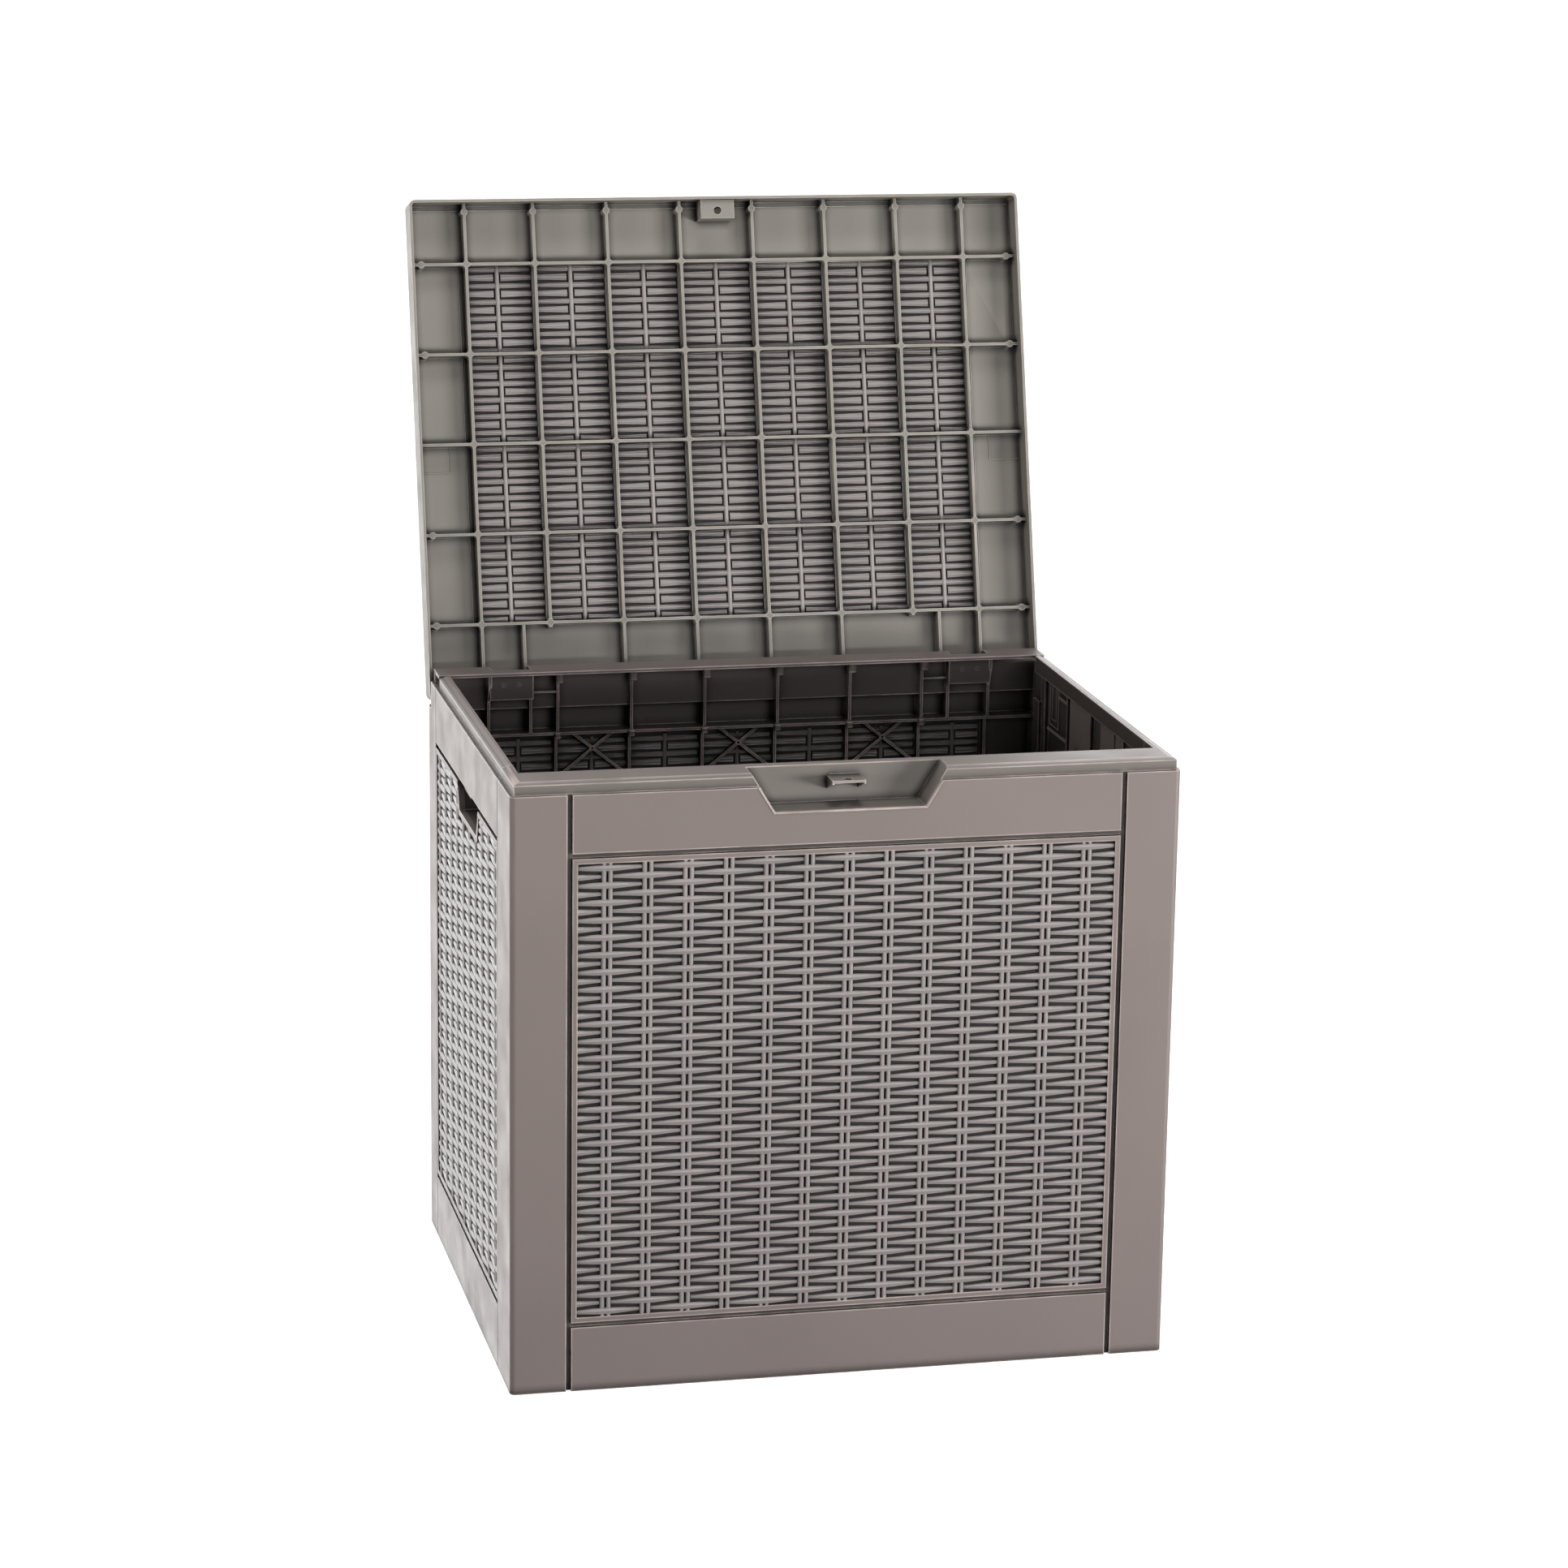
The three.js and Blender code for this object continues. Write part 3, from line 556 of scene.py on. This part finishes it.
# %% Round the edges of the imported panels
steel_nodes = [n for n in cad if "pin" in n or "screw" in n]
lid_nodes = [n for n in cad if n.startswith("lid") or "tab" in n]
edge_radius = 0.9 * mm
steel_edge_radius = 0.25 * mm
for name, part in cad.items():
    is_steel = name in steel_nodes
    part.data.materials.clear()
    resin_here = lid_resin if name in lid_nodes else board_resin
    part.data.materials.append(pin_steel if is_steel else resin_here)
    part.modifiers.new("weld", "WELD").merge_threshold = 0.01 * mm
    flatten = part.modifiers.new("flatten", "DECIMATE")
    flatten.decimate_type = "DISSOLVE"
    flatten.angle_limit = radians(0.5)
    bevel = part.modifiers.new("round", "BEVEL")
    bevel.width = steel_edge_radius if is_steel else edge_radius
    bevel.segments = 2
    bevel.limit_method = "ANGLE"
    bevel.angle_limit = radians(40)
    bevel.use_clamp_overlap = True
    part.modifiers.new("smooth", "NODES").node_group = smooth_below
    flat_faces = part.modifiers.new("keep_faces_flat", "WEIGHTED_NORMAL")
    flat_faces.mode = "FACE_AREA"
    flat_faces.weight = 100
    flat_faces.keep_sharp = True
print("rounded", len(cad), "packed nodes;", len(steel_nodes), "of them steel")

# %% [markdown]
# ## Making pieces
#
# A strand, a rod, a rib and a boss are all lofts: a closed loop carried along and skinned
# with quads. So one helper does them all, and one more turns the collected points into an
# object that rides on its body. A curve with a bevel could make the strands too, but its
# section can't change from a wide crown to a thin tail, which is what makes cane look
# woven.

# %% Helpers for lofted pieces
def empty_shape():
    """A shape to fill: its points, its faces and each point's tone."""
    return {"points": [], "faces": [], "tones": []}


def loft(shape, loops, tone=0.5):
    """Skins a row of closed loops with quads and closes both ends."""
    start = len(shape["points"])
    size = len(loops[0])
    for loop in loops:
        shape["points"].extend(loop)
    for i in range(len(loops) - 1):
        a = start + i * size
        for j in range(size):
            k = (j + 1) % size
            shape["faces"].append((a + j, a + k, a + size + k, a + size + j))
    last = start + (len(loops) - 1) * size
    shape["faces"].append(tuple(range(start + size - 1, start - 1, -1)))
    shape["faces"].append(tuple(range(last, last + size)))
    shape["tones"].extend([tone] * size * len(loops))


def finish_piece(name, shape, material, body):
    """Makes the object, turns its faces outward, shades it and lets it ride."""
    mesh = bpy.data.meshes.new(name)
    mesh.from_pydata(shape["points"], [], shape["faces"])
    mesh.attributes.new("tone", "FLOAT", "POINT").data.foreach_set("value", shape["tones"])
    shell = bmesh.new()
    shell.from_mesh(mesh)
    bmesh.ops.recalc_face_normals(shell, faces=shell.faces)
    shell.to_mesh(mesh)
    shell.free()
    mesh.shade_smooth()
    mesh.set_sharp_from_angle(angle=radians(40))
    mesh.materials.append(material)
    piece = bpy.data.objects.new(name, mesh)
    bpy.context.scene.collection.objects.link(piece)
    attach(piece, body)
    print(f"{name}: {len(mesh.polygons)} faces on {body}")


def face_of(origin, along, up, turn=None):
    """Places (u, v, w) in millimetres on a flat face: along it, up it and out of it."""
    out = along.cross(up)

    def at(u, v, w):
        point = origin + (along * u + up * v + out * w) * mm
        return turn @ point if turn else point
    return at


X, Y, Z = Vector((1, 0, 0)), Vector((0, 1, 0)), Vector((0, 0, 1))

# %% [markdown]
# ## The weave
#
# Upright stakes stand in pairs at an even pitch. Strands run level, one row above the
# next. In each row a strand crosses over every second pair and dives behind the ones
# between, and the next row does the opposite. So what shows of a strand is a row of
# separate lens shapes, each centred on the pair that it crosses: wide and proud over the
# stakes, thin and sunk where it goes behind the neighbours. That is how we make it, one
# closed lens per crossing, because the mould has no hidden part of the strand either.

# %% Shape of one strand crossing
stake_pitch = 33.45
rod_width = 4.3
rod_gap = 0.9
crown_points = 8
stations = 9
root = -0.3

outside_relief = {"crest": 3.7, "tail": 1.9, "rod": 3.2, "widths": (5.7, 3.5),
                  "reach": stake_pitch - 4.8, "round": 1.1, "ridge": 0.35, "gap": 0.25}
side_relief = {**outside_relief, "crest": 3.2, "tail": 2.2, "widths": (6.4, 4.6), "gap": 1.0}


def crossing(shape, at, centre, level, u_from, u_to, relief, rng, widths):
    """One lens of strand over the stakes at centre, cut to lie from u_from to u_to."""
    crown, thin = widths
    loops = []
    lift = rng.uniform(-0.12, 0.12)
    for i in range(stations):
        u = u_from + (u_to - u_from) * i / (stations - 1)
        share = min(1.0, abs(u - centre) / relief["reach"])
        swell = cos(pi / 2 * share) ** 1.2
        half = (thin + (crown - thin) * swell) / 2
        height = relief["tail"] + (relief["crest"] - relief["tail"]) * swell + lift
        loop = [at(u, level - half, root)]
        for j in range(crown_points + 1):
            side = 2 * j / crown_points - 1
            dip = relief["round"] * abs(side) ** 3.5
            if j in (2, crown_points - 2):
                dip += relief["ridge"]
            loop.append(at(u, level + side * half, height - dip))
        loop.append(at(u, level + half, root))
        loops.append(loop)
    loft(shape, loops, rng.random())


# %% Shape of one stake
def rod(shape, at, u, v_from, v_to, width, height, tone):
    """A half-round upright rod, closed at both ends."""
    loops = []
    for v in (v_from, v_to):
        arch = [at(u + width / 2 * cos(pi * j / 8), v, height * sin(pi * j / 8) ** 0.6)
                for j in range(9)]
        loops.append([at(u + width / 2, v, root), *arch, at(u - width / 2, v, root)])
    loft(shape, loops, tone)


# %% [markdown]
# A whole field is rows of crossings and a row of stakes, trimmed to the frame. The finger pocket
# bites a notch out of the two side fields, so a field may be given one, and both the strands and
# the stakes stop short of it. A thin dark sheet lies under the whole field: it is painted shade,
# which makes the deep gaps of the weave look almost black.

# %% Rows of strands, trimmed to the field and to the notch
def notch_half(notch, v):
    """Half the notch's width at height v, or nothing below it."""
    if notch is None or v < notch["bottom"]:
        return 0.0
    share = (v - notch["bottom"]) / (notch["top"] - notch["bottom"])
    return notch["half_bottom"] + (notch["half_top"] - notch["half_bottom"]) * share


def weave_strands(at, width, height, rows, relief, pairs, notch, row_edge, phase, rng):
    """Each row crosses every second pair of stakes, and the next row the others."""
    strands = empty_shape()
    row_pitch = (height - 2 * row_edge) / (rows - 1)
    for row in range(rows):
        level = height - row_edge - row * row_pitch
        open_half = notch_half(notch, level + relief["widths"][0] / 2)
        for k in range(-pairs // 2 - 2, pairs // 2 + 3):
            if (k + row + phase) % 2:
                continue
            centre = width / 2 + (k + (0.5 if pairs % 2 == 0 else 0)) * stake_pitch
            widths = relief["at_ribs" if k % 2 and "at_ribs" in relief else "widths"]
            u_from = max(0.0, centre - relief["reach"])
            u_to = min(width, centre + relief["reach"])
            spans = [(u_from, u_to)]
            if open_half:
                low, high = notch["centre"] - open_half, notch["centre"] + open_half
                spans = [(u_from, min(u_to, low)), (max(u_from, high), u_to)]
            for a, b in spans:
                if b - a > 1.0:
                    crossing(strands, at, centre, level, a, b, relief, rng, widths)
    return strands


# %% Stakes and the dark sheet of painted shade
def weave_stakes(at, width, height, relief, pairs, notch, rods_per_stake, rng):
    """Upright rods in pairs or alone, cut short under the notch."""
    stakes = empty_shape()
    shift = (rod_width + rod_gap) / 2 if rods_per_stake == 2 else 0
    for k in range(pairs):
        u = width / 2 + (k - (pairs - 1) / 2) * stake_pitch
        top = height
        if notch:
            away = abs(u - notch["centre"]) - rod_width - rod_gap / 2
            slope = (notch["half_top"] - notch["half_bottom"]) / (notch["top"] - notch["bottom"])
            if away < notch["half_top"]:
                top = notch["bottom"] + max(0.0, away - notch["half_bottom"]) / slope
        for side in ((-1, 1) if rods_per_stake == 2 else (0,)):
            rod(stakes, at, u + side * shift, 0, min(top, height), rod_width, relief["rod"],
                rng.random())
    return stakes


def painted_gap_sheet(at, width, height, relief, notch):
    """One flat sheet of painted shade under the field, with the notch cut out of its top."""
    corners = [(0, 0), (width, 0), (width, height), (0, height)]
    if notch:
        low = max(0.0, notch["centre"] - notch["half_top"])
        high = min(width, notch["centre"] + notch["half_top"])
        foot_low = max(0.0, notch["centre"] - notch["half_bottom"])
        foot_high = min(width, notch["centre"] + notch["half_bottom"])
        corners[3:3] = [(high, height), (foot_high, notch["bottom"]),
                        (foot_low, notch["bottom"]), (low, height)]
    sheet = empty_shape()
    loft(sheet, [[at(u, v, w) for u, v in corners] for w in (root, relief["gap"])])
    return sheet


# %% Weave a whole field
def weave(name, at, width, height, rows, relief, materials, body, pairs, notch=None,
          row_edge=4.1, rods_per_stake=2, phase=0, seed=1):
    """Strands, stakes and a sheet of painted shade for the gaps, on a field from 0 to width and 0
    to height.
    """
    rng = random.Random(seed)
    strands = weave_strands(at, width, height, rows, relief, pairs, notch, row_edge, phase, rng)
    stakes = weave_stakes(at, width, height, relief, pairs, notch, rods_per_stake, rng)
    finish_piece(name + "_gap_shade", painted_gap_sheet(at, width, height, relief, notch), gap_shade_resin, body)
    finish_piece(name + "_strands", strands, materials[0], body)
    finish_piece(name + "_stakes", stakes, materials[1], body)


# %% [markdown]
# ### Where the fields lie
#
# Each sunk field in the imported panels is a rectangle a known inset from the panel's own
# box. The insets below are the panel's own design sizes: the boards, the groove round
# the field, and the thin frame inside the groove.

# %% Work out the four wall fields
post, groove, frame_strip, sink = 46.5, 4.2, 4.5, 3.5
upper_board, lower_board, rim_height = 49.0, 55.4, 10.5
front_low, front_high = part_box("front_panel")
half_width = front_high.x / mm
half_depth = -front_low.y / mm
board_top = front_high.z / mm - rim_height
field_low = lower_board + groove + frame_strip
field_high = board_top - upper_board - groove - frame_strip
field_half = half_width - post - groove - frame_strip
front_wrap, rear_wrap, seam_gap = 65.0, 44.0, 0.3
seam_front = -half_depth + front_wrap
seam_rear = half_depth - rear_wrap
field_height = field_high - field_low
side_from = seam_front + seam_gap + frame_strip
side_to = seam_rear - seam_gap - frame_strip
rows_on_wall = 53
print("wall field", round(2 * field_half, 1), "by", round(field_height, 1), "mm")

# %% Weave the outside of the four walls
pocket_height, pocket_half_foot, pocket_half_top = 24.0, 45.0, 56.0
pocket_notch = {"bottom": field_height - pocket_height, "top": field_height + frame_strip,
                "half_bottom": pocket_half_foot + frame_strip,
                "half_top": pocket_half_top + frame_strip}


def wall_face(along, corner_x, corner_y):
    """The sunk face of one wall, from its lower corner."""
    return face_of(Vector((corner_x, corner_y, field_low)) * mm, along, Z)


sunk_y = half_depth - sink
sunk_x = half_width - sink
side_width = side_to - side_from
cane_x = (cane_along_x, stake_upright)
cane_y = (cane_along_y, stake_upright)
weave("front_weave", wall_face(X, -field_half, -sunk_y), 2 * field_half, field_height,
      rows_on_wall, outside_relief, cane_x, "box", 13, seed=3)
weave("back_weave", wall_face(-X, field_half, sunk_y), 2 * field_half, field_height,
      rows_on_wall, outside_relief, cane_x, "box", 13, seed=5)
weave("left_weave", wall_face(-Y, -sunk_x, side_to), side_width, field_height,
      rows_on_wall, side_relief, cane_y, "box", 10,
      notch={**pocket_notch, "centre": side_to}, seed=7)
weave("right_weave", wall_face(Y, sunk_x, side_from), side_width, field_height,
      rows_on_wall, side_relief, cane_y, "box", 10,
      notch={**pocket_notch, "centre": -side_from}, seed=9)

# %% [markdown]
# ### The weave seen from inside
#
# A thin moulded wall carries its pattern through to the other side, softer and inside
# out: the strand that dives behind outside is the one that stands proud inside. A single
# rod shows between the strands, with a dark groove on each side of it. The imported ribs
# stand over it and divide it into cells.

# %% Weave the inside of the walls
inside_relief = {"crest": 2.4, "tail": 1.8, "rod": 2.8, "widths": (4.6, 3.6),
                 "at_ribs": (4.6, 6.3), "reach": stake_pitch - 3.4, "round": 0.8,
                 "ridge": 0.5, "gap": 0.25}
wall = 6.0
inner_y = half_depth - wall
inner_x = half_width - wall
rib_pitch = 2 * stake_pitch
weave("back_inner_weave", wall_face(X, -field_half, inner_y), 2 * field_half, field_height,
      rows_on_wall, inside_relief, (shaded_inner_cane, shaded_inner_cane), "box", 13, rods_per_stake=1,
      seed=11)
weave("front_inner_weave", wall_face(-X, field_half, -inner_y), 2 * field_half,
      field_height, rows_on_wall, inside_relief, (shaded_inner_cane, shaded_inner_cane), "box", 13,
      rods_per_stake=1, seed=13)

# %% [markdown]
# ## Turning the lid's pieces
#
# The lid rests open, leaning back past upright. Its pieces are easiest to think of
# closed, flat over the box, so we place them there and then turn every point back about
# the hinge by the joint's own range.

# %% The lid closed and opened
hinge = frame["joints"][0]
hinge_place = Vector(hinge["pos_m"])
swing = Matrix.Rotation(radians(max(hinge["range_deg"])), 4, Vector(hinge["axis"]))
closing = Matrix.Translation(hinge_place) @ swing @ Matrix.Translation(-hinge_place)
opening = closing.inverted()
lid_points = [closing @ v.co for v in cad["lid"].data.vertices]
lid_low = Vector([min(p[i] for p in lid_points) for i in range(3)]) / mm
lid_high = Vector([max(p[i] for p in lid_points) for i in range(3)]) / mm
print("closed lid spans", [round(x, 1) for x in lid_low], "to", [round(x, 1) for x in lid_high])

# %% Weave the lid's top and underside
lid_rear_border, lid_front_border = 65.0, 56.6
lid_rows_rear = lid_high.y - lid_rear_border
lid_rows_front = lid_low.y + lid_front_border
lid_field_half = 229.45
lid_depth = lid_rows_rear - lid_rows_front
lid_sink = 2.2
lid_plate = 3.5
rows_on_lid = 44
row_edge_on_lid = lid_depth / rows_on_lid / 2
lid_corner = Vector((-lid_field_half, lid_rows_front, lid_high.z - lid_sink)) * mm
lid_top_face = face_of(lid_corner, X, Y, opening)
under_corner = Vector((lid_field_half, lid_rows_front, lid_high.z - lid_plate)) * mm
lid_under_face = face_of(under_corner, -X, Y, opening)
lid_relief = {**outside_relief, "crest": 2.5, "tail": 0.9, "rod": 1.7, "round": 0.8}
under_relief = {**inside_relief, "crest": 2.6, "tail": 2.0, "rod": 3.2}
weave("lid_top_weave", lid_top_face, 2 * lid_field_half, lid_depth, rows_on_lid,
      lid_relief, cane_x, "lid", 13, row_edge=row_edge_on_lid, phase=1, seed=15)
weave("lid_under_weave", lid_under_face, 2 * lid_field_half, lid_depth, rows_on_lid,
      under_relief, cane_x, "lid", 13, row_edge=row_edge_on_lid, rods_per_stake=1,
      phase=1, seed=17)

# %% [markdown]
# ## Small mouldings
#
# The lid's ribs meet in little rounded webs, which stop a moulded cross from tearing. The
# packed ribs cross at bare right angles, so we add the webs: a star with hollow sides,
# one quarter arc in each corner, as deep as the ribs.

# %% Webs where the lid's ribs cross
rib_half = 1.25
rib_depth = 13.5
inner_ribs = [k * rib_pitch / 2 for k in (-5, -3, -1, 1, 3, 5)]
lid_ribs = [-lid_field_half, *inner_ribs, lid_field_half]
lid_cells = 4
lid_row_pitch = lid_depth / lid_cells


def web(shape, at, u, v, radius, depth):
    """A star with four hollow sides that rounds the corners of two crossing ribs."""
    outline = []
    reach = radius + rib_half
    arc_steps = 5
    for quarter in range(4):
        turn = quarter * pi / 2
        for i in range(arc_steps + 1):
            angle = pi + pi / 2 * (1 - i / arc_steps)
            a = reach + radius * cos(angle)
            b = reach + radius * sin(angle)
            outline.append((a * cos(turn) - b * sin(turn), a * sin(turn) + b * cos(turn)))
    loops = [[at(u + a * k, v + b * k, w) for a, b in outline]
             for w, k in ((root, 1.0), (depth - 0.5, 1.0), (depth, 0.9))]
    loft(shape, loops)


web_radius = 3.0
webs = empty_shape()
for x in lid_ribs:
    for row in range(lid_cells + 1):
        web(webs, lid_under_face, lid_field_half - x, row * lid_row_pitch, web_radius,
            rib_depth + 0.3)
finish_piece("lid_rib_webs", webs, lid_resin, "lid")


# %% [markdown]
# ### Flat strips
#
# Most of the other small mouldings are flat strips with a chamfer: the faint frames and
# steps on the lid's underside, the line round the latch recess, the seams, the braces and
# the plates. A curve object could carry such a section too, but a loft keeps the mitres
# sharp, so one helper makes them all.

# %% A flat strip with chamfered edges
def strip(shape, at, path, width, height, chamfer=0.3):
    """A flat strip along a path of (u, v) points, mitred at the corners."""
    half = width / 2
    section = ((-half, root), (-half, height - chamfer), (-half + chamfer, height),
               (half - chamfer, height), (half, height - chamfer), (half, root))
    steps = [(b[0] - a[0], b[1] - a[1]) for a, b in zip(path, path[1:])]
    sides = [(-dv / hypot(du, dv), du / hypot(du, dv)) for du, dv in steps]
    loops = []
    for i, (u, v) in enumerate(path):
        first, second = sides[max(0, i - 1)], sides[min(i, len(sides) - 1)]
        nu, nv = first[0] + second[0], first[1] + second[1]
        scale = 2 / (nu * nu + nv * nv)
        loops.append([at(u + nu * scale * s, v + nv * scale * s, w) for s, w in section])
    loft(shape, loops)


# %% Steps and frames on the lid's underside
steps = empty_shape()
skirt = 2.5
faint = (0.9, 0.6)
under_width = 2 * lid_field_half
edge_u = lid_high.x - lid_field_half
front_v = lid_low.y - lid_rows_front
for sign, start in ((-1, 0.0), (1, under_width)):
    beside_field = start + sign * 5.5
    for row in range(lid_cells):
        v = row * lid_row_pitch
        strip(steps, lid_under_face,
              [(beside_field, v + 2), (beside_field, v + lid_row_pitch - 2)], *faint)
    frame_near, frame_far = start + sign * 20, start + sign * (edge_u - skirt)
    v = 2 * lid_row_pitch + 2
    strip(steps, lid_under_face,
          [(frame_far, v + 22), (frame_near, v + 22), (frame_near, v)], 0.8, 0.55)
strip(steps, lid_under_face,
      [(-edge_u + skirt, front_v + 7), (under_width + edge_u - skirt, front_v + 7)], *faint)
finish_piece("lid_edge_steps", steps, lid_resin, "lid")

# %% [markdown]
# ### Lip round the latch recess
#
# The recess in the front board has a thin raised line round it, which catches the light.
# It follows the recess's own outline, one strip from end to end.

# %% Line round the recess
recess_floor = board_top - 21.0
recess_half = 63.0
flare = 0.6
slant_share = 0.57
front_face = face_of(Vector((0, -half_depth, 0)) * mm, X, Z)


def recess_path(away):
    """The recess's outline, moved out by a distance."""
    foot = recess_half + away * slant_share
    head = foot + (board_top - recess_floor + away) * flare
    return [(-head, board_top - 0.4), (-foot, recess_floor - away),
            (foot, recess_floor - away), (head, board_top - 0.4)]


line = empty_shape()
strip(line, front_face, recess_path(1.2), 1.3, 0.6, 0.4)
finish_piece("recess_line", line, board_resin, "box")

# %% [markdown]
# ### Seams
#
# The side walls slot between the corner wraps of the front and back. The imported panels
# meet with a gap a third of a millimetre wide, and its shadow reads as a fine dark line,
# so we draw the line a little wider than the gap.

# %% Seams between the side walls and the corner wraps
seams = empty_shape()
seam_width = 0.8
left_face = face_of(Vector((-half_width, 0, 0)) * mm, -Y, Z)
right_face = face_of(Vector((half_width, 0, 0)) * mm, Y, Z)
for face, sign in ((left_face, -1), (right_face, 1)):
    for seam in (seam_front, seam_rear):
        strip(seams, face, [(sign * seam, 1.0), (sign * seam, board_top - 1.0)],
              seam_width, 0.12, 0.04)
finish_piece("panel_seams", seams, gap_shade_resin, "box")

# %% [markdown]
# ### Braces and bosses inside the back
#
# Below the shelf, three of the cells are crossed by thin diagonal braces, and a small
# shelf stands beside each hinge pocket. Short round bosses sit at the top of the ribs,
# under the hood, and under the shelf. The braces are strips standing on edge, and a boss
# is a small loft of shrinking rings.

# %% Braces across three cells
back_face = face_of(Vector((0, inner_y, 0)) * mm, X, Z)
shelf = board_top - upper_board
pocket_shelf = board_top - 12.0
brace_foot = shelf - 45
braces = empty_shape()
for centre in (-2 * rib_pitch, 0.0, 2 * rib_pitch):
    for sign in (-1, 1):
        head = (centre + sign * 0.30 * rib_pitch, shelf - 2)
        foot = (centre - sign * rib_pitch / 2, brace_foot)
        strip(braces, back_face, [head, foot], 2.8, 7.6, 0.4)
for side in (-1, 1):
    ends = [(side * 168, pocket_shelf), (side * 191, pocket_shelf)]
    strip(braces, back_face, ends, 2.0, 16.5, 0.4)
finish_piece("back_braces", braces, board_resin, "box")


# %% Bosses on the back's ribs
def boss(shape, x, y, z_from, z_to, radius):
    """A short upright round boss with rounded ends."""
    loops = []
    inset = 0.8
    for z, r in ((z_from, radius - inset), (z_from + inset, radius),
                 (z_to - inset, radius), (z_to, radius - inset)):
        loops.append([Vector((x + r * cos(pi * i / 8), y + r * sin(pi * i / 8), z)) * mm
                      for i in range(16)])
    loft(shape, loops)


bosses = empty_shape()
upstand_inset, rib_depth_on_wall, hood_skin = 15.5, 8.0, 3.0
boss_radius = 3.2
rib_front = half_depth - upstand_inset - rib_depth_on_wall
under_hood_y = rib_front - 9.0
hood_under = board_top + rim_height - hood_skin
for x in inner_ribs:
    boss(bosses, x, under_hood_y, hood_under - 9, hood_under + 1, boss_radius)
    boss(bosses, x, rib_front - 0.5, shelf - 5.5, shelf + 0.4, boss_radius)
finish_piece("back_bosses", bosses, board_resin, "box")

# %% [markdown]
# ### Plates inside the side walls
#
# Behind the rim the side walls carry shallow raised plates between their ribs, a ledge
# that carries on from the back's shelf, and a fine double frame near the rear corner.
# They are all flat strips too, and stand lower than the ribs. The plates have the outer resin's
# lighter colour, without the painted shade of the inside walls, so that the hollows between them,
# which carry that painted shade, stay dark.

# %% Plates, ledge and frames on the side walls
plates = empty_shape()
plate_top = board_top - 6.0
plate_rise = 2.8
for sign in (-1, 1):
    wall_inside = face_of(Vector((sign * inner_x, 0, 0)) * mm, -Y * sign, Z)

    def on_wall(path, width, height):
        """A strip on this side wall, along a path of (y, z) points."""
        strip(plates, wall_inside, [(-sign * y, z) for y, z in path], width, height, 0.5)

    for middle_y, plate_width, drop in ((45.5, 62, 60), (-37.0, 37, 48), (-72.0, 24, 48)):
        on_wall([(middle_y, board_top - drop), (middle_y, plate_top)], plate_width, plate_rise)
    on_wall([(81.5, board_top - 14), (113, board_top - 14)], 3.0, plate_rise)
    on_wall([(81.5, shelf), (145, shelf)], 2.4, 3.4)
    for inset in (0.0, 6.0):
        left, right, foot = 118 + inset, 144 - inset, shelf + 4 + inset
        on_wall([(left, plate_top), (left, foot), (right, foot), (right, plate_top)], 1.3, 1.4)
finish_piece("side_plates", plates, plate_resin, "box")
